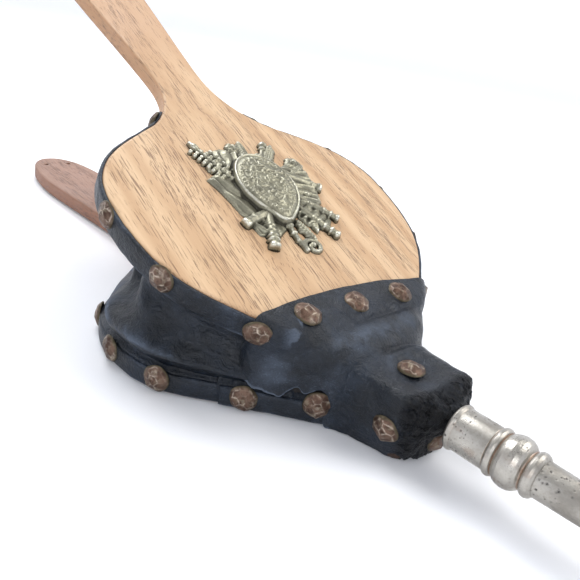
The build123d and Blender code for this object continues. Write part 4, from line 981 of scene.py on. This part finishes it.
# ---- Ornament ----
class Relief:
    """A heightfield over the ornament's ground: p runs toward the handle, q across toward +Y."""

    def __init__(self, low, high, step):
        p = np.arange(low[0], high[0], step)
        q = np.arange(low[1], high[1], step)
        self.p, self.q = np.meshgrid(p, q, indexing="ij")
        self.height = np.full(self.p.shape, -1.0)

    def place(self, shape, where):
        """Casts one more form over what is there already."""
        self.height = np.where(where, np.maximum(self.height, shape), self.height)

    def toward(self, centre, turn):
        """Coordinates about a centre, turned by an angle in degrees."""
        a = math.radians(turn)
        dp, dq = self.p - centre[0], self.q - centre[1]
        return dp * math.cos(a) + dq * math.sin(a), dq * math.cos(a) - dp * math.sin(a)

    def rod(self, start, end, radius, base=0.6, beads=(), taper=1.0, flute=0.0):
        """A round bar lying on the ground, with beads at fractions of its length."""
        start, end = np.array(start, float), np.array(end, float)
        length = np.linalg.norm(end - start)
        turn = math.degrees(math.atan2(end[1] - start[1], end[0] - start[0]))
        along, across = self.toward(start, turn)
        t = np.clip(along / length, 0, 1)
        thick = radius * (1 + (taper - 1) * t)
        for at, grow, wide in beads:
            thick = thick * (1 + grow * np.exp(-(((along - at * length) / wide) ** 2) ** 1.5))
        beyond = np.maximum(np.maximum(-along, along - length), 0)
        gap = np.sqrt(across ** 2 + (beyond * 2.4) ** 2)
        top = base + np.sqrt(np.maximum(thick ** 2 - gap ** 2, 0)) * 0.95
        if flute:
            top = top + flute * np.cos(across / np.maximum(thick, 0.3) * 9.0)
        self.place(top, gap < thick)

    def ball(self, centre, radius, base=0.6):
        gap = np.hypot(self.p - centre[0], self.q - centre[1])
        self.place(base + np.sqrt(np.maximum(radius ** 2 - gap ** 2, 0)), gap < radius)

    def leaf(self, centre, turn, length, width, rise=1.6, base=0.8, ribs=5):
        """A pointed leaf with a rib down its middle and side veins."""
        along, across = self.toward(centre, turn)
        t = along / length
        half = width * np.sqrt(np.clip(np.sin(math.pi * np.clip(t, 0, 1)), 0, 1)) * (1 - 0.35 * t)
        lobes = 1 + 0.16 * np.sin(t * math.pi * 2 * ribs)
        inside = (t > 0) & (t < 1) & (np.abs(across) < half * lobes)
        share = np.abs(across) / np.maximum(half, 0.05)
        veins = 0.22 * np.cos((t * 9 + share) * 6.3) - 0.5 * bump(across, 0, 0.35)
        self.place(base + rise * (1 - share ** 2) + veins, inside)

    def flower(self, centre, radius, petals, turn=0.0, rise=2.2, base=0.8):
        along, across = self.toward(centre, turn)
        gap, angle = np.hypot(along, across), np.arctan2(across, along)
        edge = radius * (0.80 + 0.20 * np.abs(np.cos(angle * petals / 2)))
        cup = base + rise * (1 - (gap / radius) ** 2) * (0.68 + 0.32 * np.abs(np.cos(angle * petals / 2)))
        cup = cup - 0.55 * bump(gap, radius * 0.42, 0.35)
        self.place(cup, gap < edge)
        self.ball(centre, radius * 0.3, base + rise * 0.55)

    def cloth(self, outline, base, rise, turn, pitch):
        """A gathered banner inside a closed outline, its folds running one way."""
        inside = np.zeros(self.p.shape, bool)
        edge = np.full(self.p.shape, 99.0)
        count = len(outline)
        for k in range(count):
            (ap, aq), (bp, bq) = outline[k], outline[(k + 1) % count]
            crosses = (aq > self.q) != (bq > self.q)
            where = (bp - ap) * (self.q - aq) / ((bq - aq) or 1e-9) + ap
            inside ^= crosses & (self.p < where)
            dp, dq = bp - ap, bq - aq
            t = np.clip(((self.p - ap) * dp + (self.q - aq) * dq) / (dp * dp + dq * dq), 0, 1)
            edge = np.minimum(edge, np.hypot(self.p - ap - t * dp, self.q - aq - t * dq))
        along, across = self.toward(outline[0], turn)
        spot = np.stack([along, across, 0 * along], -1)
        drift = fractal(spot, 11.0, 321, 2)
        wave = np.sin(across / pitch * 2 * math.pi + 0.9 * np.sin(along / 7.0) + 4.5 * drift)
        wave = wave * (0.45 + 0.8 * smooth(drift, -0.4, 0.4))
        top = base + rise * (0.55 + 0.38 * wave) * smooth(edge, 0.0, 2.6) + 0.45 * bump(edge, 0.7, 0.45)
        self.place(top, inside)

    def scroll(self, centre, radius, turns, start, base, thick, tail):
        """A spiral volute drawn by a round bar, which comes in from its tail."""
        steps = int(26 * turns)
        spots = [tail]
        for k in range(steps + 1):
            t = k / steps
            a = math.radians(start) + 2 * math.pi * turns * t
            reach = radius * (1 - 0.78 * t)
            spots.append((centre[0] + reach * math.cos(a), centre[1] + reach * math.sin(a)))
        for k in range(len(spots) - 1):
            size = thick * (1 - 0.35 * k / len(spots))
            self.rod(spots[k], spots[k + 1], size, base)
        self.ball(spots[-1], thick * 1.05, base)


SHIELD_AT = (73.0, -0.4)
SHIELD_HALF = (22.5, 16.2)
SHIELD_TURN = 9.0


def trophy(relief):
    """A generic trophy of arms: banners, staffs, leaves and fruit under an oval shield."""
    for outline, base, rise, turn, pitch in (
            ([(88, -25), (100, -22), (104, -10), (99, 6), (84, 8), (76, -12)], 0.7, 2.0, 20, 5.4),
            ([(82, -29), (74, -26.5), (66, -25), (58, -24), (52, -20), (58, -8), (80, -8), (88, -18)],
             0.7, 2.0, 158, 10.5),
            ([(54, -24), (44, -22), (40, -14), (45, -6), (56, -6), (60, -15)], 0.6, 1.8, -30, 4.6),
            ([(86, 14), (94, 30), (84, 34), (70, 31), (60, 27), (55, 14), (70, 8)], 0.7, 2.1, 120, 5.6),
            ([(57, 4), (46, 8), (41, 17), (47, 24), (60, 24), (64, 10)], 0.6, 1.8, 60, 4.4)):
        relief.cloth(outline, base, rise, turn, pitch)
    # Staffs and barrels: start, end, radius, height, beads, taper and fluting.
    for bar in (
            ((60, -8), (108.5, -25.0), 1.6, 1.2, ((0.93, 0.9, 2.0), (0.84, 0.7, 0.7)), 0.6),
            ((80, 0), (108, 20), 1.5, 1.0, ((0.9, 1.1, 1.8), (0.8, 0.8, 0.6)), 0.8),
            ((62, 8), (51, -26.2), 2.7, 1.1, ((0.97, 0.10, 1.2), (0.80, 0.08, 0.6)), 0.95, 0.12),
            ((66, -6), (34.9, -20.0), 2.1, 1.6, ((0.98, 0.3, 1.6), (0.88, 0.42, 0.8), (0.80, 0.30, 0.6),
                                                 (0.70, 0.22, 0.6), (0.60, 0.18, 0.6)), 1.05),
            ((64, 6), (36.5, 20.0), 2.0, 1.4, ((0.97, 0.35, 1.0), (0.86, 0.45, 0.6), (0.74, 0.35, 0.6),
                                               (0.62, 0.30, 0.6), (0.52, 0.25, 0.6)), 0.9),
            ((70, 10), (47.5, 28.0), 1.9, 1.4, ((0.98, 0.35, 0.9), (0.85, 0.45, 0.6), (0.72, 0.3, 0.6)), 0.9),
            ((86, 10), (70, 33), 2.4, 1.0, ((0.97, 0.3, 1.2), (0.82, 0.2, 0.6)), 0.95, 0.1),
            ((56, -3), (37, -4.5), 1.8, 1.1, ((0.5, 0.5, 0.9), (0.75, 0.4, 0.6)), 0.75)):
        relief.rod(*bar)
    relief.scroll((32.6, 1.6), 5.2, 1.35, -110, 0.7, 1.5, (38.5, -4.0))
    # Leaves: foot, turn, length, width, rise, height and side lobes.
    for leaf in (((99, -21.5), -19, 11.0, 2.2, 1.5, 1.0, 2), ((50, 2), 168, 15.0, 3.6, 1.8, 0.9, 3),
                 ((52, 14), 200, 12.0, 3.0, 1.6, 0.8, 3), ((52, -14), 185, 13.0, 4.2, 1.8, 0.8, 2),
                 ((92, 12), 40, 17.0, 4.4, 1.9, 0.9, 4), ((96, 2), 8, 13.0, 3.6, 1.8, 0.9, 4),
                 ((82, 22), 62, 13.0, 3.6, 1.7, 0.9, 4)):
        relief.leaf(*leaf)
    for centre, radius, petals in (((104, -2), 4.2, 6), ((102, 19.5), 4.6, 5), ((90.5, 29), 5.4, 6),
                                   ((96.5, 10.5), 3.4, 5)):
        relief.flower(centre, radius, petals, radius * 40)
    for row in range(5):
        for k in range(8 - (row % 2)):
            p = 101.5 - 2.9 * k - 1.4 * (row % 2) - 0.35 * row
            q = -27.6 + 2.5 * row + 0.95 * k
            if p > 76 and q < -9.5:
                relief.ball((p, q), 1.2, 1.5 + 0.12 * row)
    relief.ball((59.1, 17.5), 2.4, 1.0)
    relief.ball((66.0, 21.0), 1.8, 1.4)


def shield_relief(relief):
    """The domed oval shield: a raised rim, a beaded line and scrollwork inside."""
    along, across = relief.toward(SHIELD_AT, SHIELD_TURN)
    angle = np.arctan2(across / SHIELD_HALF[1], along / SHIELD_HALF[0])
    point = 1 + 0.15 * bump(np.abs(angle), math.pi, 0.32) - 0.05 * bump(np.abs(angle), 2.2, 0.5)
    reach = np.hypot(along / SHIELD_HALF[0], across / SHIELD_HALF[1]) / point
    dome = 3.7 + 2.4 * np.sqrt(np.clip(1 - reach ** 2 * 0.96, 0, 1))
    spot = np.stack([along, across, 0 * along], -1)
    vine = np.sin(3.4 * np.log(np.maximum(reach, 0.05)) * 3 + angle * 5) + np.sin(angle * 9 - reach * 21)
    curls = 1 - 5.5 * np.abs(fractal(spot, 5.0, 301, 2))
    chased = 1 - 6.0 * np.abs(fractal(spot, 2.6, 303, 2))
    middle = 1 - smooth(reach, 0.50, 0.55)
    work = (1 - middle) * 0.22 * smooth(vine, -0.2, 0.9) + middle * 0.55 * smooth(curls, 0.1, 0.7)
    work = work + 0.5 * smooth(chased, 0.2, 0.8)
    work = work + 0.12 * fractal(spot, 1.5, 307, 3)
    oval = bump(reach, 0.545, 0.022) * 0.5
    beads = bump(reach, 0.80, 0.03) * (0.25 + 0.3 * np.cos(angle * 46))
    rim = smooth(reach, 0.94, 0.955) * (1 - smooth(reach, 0.98, 1.0))
    top = dome + work * (1 - smooth(reach, 0.84, 0.88)) + oval + beads + rim * 0.55
    top = top - 0.35 * bump(reach, 0.915, 0.015)
    edge = smooth(reach, 0.99, 1.03)
    relief.place(top * (1 - edge) + 1.6 * edge, reach < 1.03)


def blurred(grid, width):
    """A grid's moving average, so many cells wide both ways."""
    kernel = np.ones(width) / width
    for axis in (0, 1):
        grid = np.apply_along_axis(np.convolve, axis, grid, kernel, "same")
    return grid


def ornament(material):
    """The casting: a relief over the board, closed underneath, with how high each point stands."""
    relief = Relief((24.0, -34.0), (112.0, 38.0), 0.31)
    trophy(relief)
    shield_relief(relief)
    height = relief.height
    spot = np.stack([relief.p, relief.q, 0 * relief.p], -1)
    solid = height > 0
    base = -0.3
    height = np.where(solid, height + 0.10 * fractal(spot, 1.4, 311, 3), base)
    height = 0.6 * height + 0.4 * blurred(height, 3)
    high = np.clip(0.5 + (height - blurred(height, 11)) * 0.42, 0, 1)
    # Keep the cells with metal in them, and close the casting underneath.
    rows, columns = solid.shape
    grown = solid[:-1, :-1] | solid[1:, :-1] | solid[:-1, 1:] | solid[1:, 1:]
    top = on_top_board(-relief.p, relief.q, BOARD_THICKNESS + np.maximum(height, base + 0.1)).reshape(-1, 3)
    under = on_top_board(-relief.p, relief.q, BOARD_THICKNESS + base).reshape(-1, 3)
    r, c = np.nonzero(grown)
    a, b, d, e = r * columns + c, (r + 1) * columns + c, (r + 1) * columns + c + 1, r * columns + c + 1
    upper = np.stack([a, e, d, b], -1)
    count = rows * columns
    lower = np.stack([a, b, d, e], -1) + count
    edges = np.concatenate([upper[:, [k, (k + 1) % 4]] for k in range(4)])
    key = edges[:, 0] * count + edges[:, 1]
    back = edges[:, 1] * count + edges[:, 0]
    rim = edges[~np.isin(key, back)]
    wall = np.stack([rim[:, 1], rim[:, 0], rim[:, 0] + count, rim[:, 1] + count], -1)
    faces = np.concatenate([upper, lower, wall])
    points = np.concatenate([top, under])
    used, faces = np.unique(faces, return_inverse=True)
    faces = faces.reshape(-1, 4)
    highs = np.concatenate([high.ravel(), np.zeros(count)])[used]
    piece = make_piece("trophy_ornament", points[used], faces, material, {"high": highs})
    return settle(piece, "upper_board", "pewter", "ornament_casting")


# ---- Floor, light and camera ----
FLOOR_GAP = 0.0003      # metres between the lower board and the paper, so that the two don't flicker


def studio():
    """A pale sweep behind the object and soft lights from above and the left."""
    paper = Look("studio_paper", rest_place=False)
    reach = paper.add("ShaderNodeVectorMath", operation="LENGTH")
    paper.link(paper.place, reach.inputs[0])
    # The paper glows where it lies far from the lamps, a painted light from emission that lifts it back to
    # white: from nothing at 1.2 m out to full at 3.2 m.
    lift = paper.add("ShaderNodeMapRange")
    paper.link(reach.outputs["Value"], lift.inputs["Value"])
    for key, number in (("From Min", 1.2), ("From Max", 3.2), ("To Min", 0.0), ("To Max", 0.42)):
        lift.inputs[key].default_value = number
    paper.link(lift.outputs["Result"], paper.shader.inputs["Emission Strength"])
    ground = paper.finish((0.86, 0.865, 0.885, 1), 0.75, Emission_Color=(0.9, 0.93, 1.0, 1))
    # The floor is a wide dish that turns up far away, so that no horizon shows.
    reach = np.array([0.001, 1.0, 2.5, 3.2, 3.7, 4.05, 4.25, 4.35])[:, None]
    rise = np.array([0.0, 0.0, 0.0, 0.05, 0.25, 0.65, 1.3, 3.0])[:, None] - FLOOR_GAP
    angle = np.linspace(0, 2 * math.pi, 96, endpoint=False)[None, :]
    dish = np.stack(np.broadcast_arrays(reach * np.cos(angle), reach * np.sin(angle), rise), -1) / MM
    floor = make_piece("floor", dish, grid_faces(8, 96, wrap=True), ground)
    world = bpy.data.worlds.new("studio")
    world.use_nodes = True
    sky = world.node_tree.nodes["Background"]
    sky.inputs["Color"].default_value = (0.93, 0.95, 1.0, 1)
    sky.inputs["Strength"].default_value = 0.52
    bpy.context.scene.world = world
    target = Vector((-0.04, 0.0, 0.05))
    for name, place, power, wide, tint in (
            ("window", (-1.0, 0.1, 1.25), 18.0, 0.9, (0.95, 0.97, 1.0)),
            ("overhead", (0.5, 0.9, 1.4), 16.5, 1.1, (1.0, 0.99, 0.97)),
            ("fill", (0.9, -1.1, 0.9), 6.0, 0.9, (0.95, 0.97, 1.0))):
        data = bpy.data.lights.new(name, "AREA")
        data.energy = power
        data.size = wide
        data.color = tint
        lamp = bpy.data.objects.new(name, data)
        lamp.location = place
        lamp.rotation_euler = (target - Vector(place)).to_track_quat("-Z", "Y").to_euler()
        bpy.context.scene.collection.objects.link(lamp)


def camera():
    azimuth, elevation, roll = math.radians(45.82), math.radians(24.13), math.radians(10.34)
    ahead = Vector((-math.sin(azimuth) * math.cos(elevation), math.cos(azimuth) * math.cos(elevation),
                    -math.sin(elevation)))
    level = Vector((math.cos(azimuth), math.sin(azimuth), 0))
    upright = level.cross(ahead)
    right = level * math.cos(roll) + upright * math.sin(roll)
    up = upright * math.cos(roll) - level * math.sin(roll)
    data = bpy.data.cameras.new("view")
    data.sensor_width = 36.0
    data.lens = 40.03
    data.clip_start = 0.01
    eye = bpy.data.objects.new("view", data)
    turn = Matrix((right, up, -ahead)).transposed().to_4x4()
    eye.matrix_world = Matrix.Translation((0.16647, -0.19566, 0.15567)) @ turn
    bpy.context.scene.collection.objects.link(eye)
    bpy.context.scene.camera = eye


# ---- Putting it together ----
camera()
studio()

bpy.context.scene.view_settings.view_transform = "Standard"

top_oak = wood_look("top_oak", (0.60, 0.415, 0.25), (0.46, 0.285, 0.155), (0.19, 0.105, 0.06),
                    (0.40, 0.19, 0.095), -OPEN_ANGLE, (0.42, 0.235, 0.135), 0.78)
lower_oak = wood_look("lower_oak", (0.33, 0.19, 0.13), (0.22, 0.115, 0.07), (0.07, 0.035, 0.025),
                      (0.29, 0.12, 0.065), 0.0, (0.36, 0.225, 0.175), 0.6)
# Painted shade: near-black oak for the nose block, which shows only in the hollow under the torn front
# leather.
painted_shade_oak = wood_look("painted_shade_oak", (0.020, 0.013, 0.010), (0.012, 0.008, 0.006), (0.004, 0.003, 0.003),
                       (0.016, 0.010, 0.008), 0.0, (0.016, 0.010, 0.008), 0.5)
leather = leather_look("black_leather", (0.0022, 0.0040, 0.0070), (0.008, 0.0145, 0.0265),
                       (0.085, 0.105, 0.140))
inner_leather = plain_leather_look()
iron = small_metal_look("tack_iron", (0.16, 0.14, 0.13), (0.06, 0.04, 0.03), 0.8, 0.45, 0.7)
steel = small_metal_look("screw_steel", (0.45, 0.43, 0.41), (0.22, 0.17, 0.13), 0.9, 0.35, 0.6)

paint_nodes(top_oak, "top_board")
paint_nodes(lower_oak, "bottom_board", "valve_stiffener")
# Painted shade: the nose block takes the near-black oak.
paint_nodes(painted_shade_oak, "nose_block")
paint_nodes(inner_leather, "valve_flap", "valve_hinge_strip", "valve_strap")
paint_nodes(iron, "hinge_tacks_top", "hinge_tacks_nose", "valve_tacks", "stiffener_tacks")
paint_nodes(steel, "nose_screws", "ornament_pins")

bag_leather(leather)
band_leather("top_band_leather", TOP_RIM, on_top_board, leather, "upper_board", "top_rim_band", 401,
             BAND_REAR, 9.0, low=-1.2, high=9.4)
band_leather("bottom_band_leather", LOWER_RIM, on_bottom_board, leather, "base", "bottom_rim_band", 421,
             LOWER_BAND_REAR, 4.0, low=0.5, high=9.5)
band_leather("shoulder_strip_leather", LOWER_RIM, on_bottom_board, leather, "base", "front_strip", 441,
             8.0, 26.0, low=0.6, high=9.8, layer=1.7)
torn_lining(leather)
front_leather(leather)
inner_hinge(inner_leather)
all_nails(nail_look())
nozzle(nickel_look())
ornament(pewter_look())
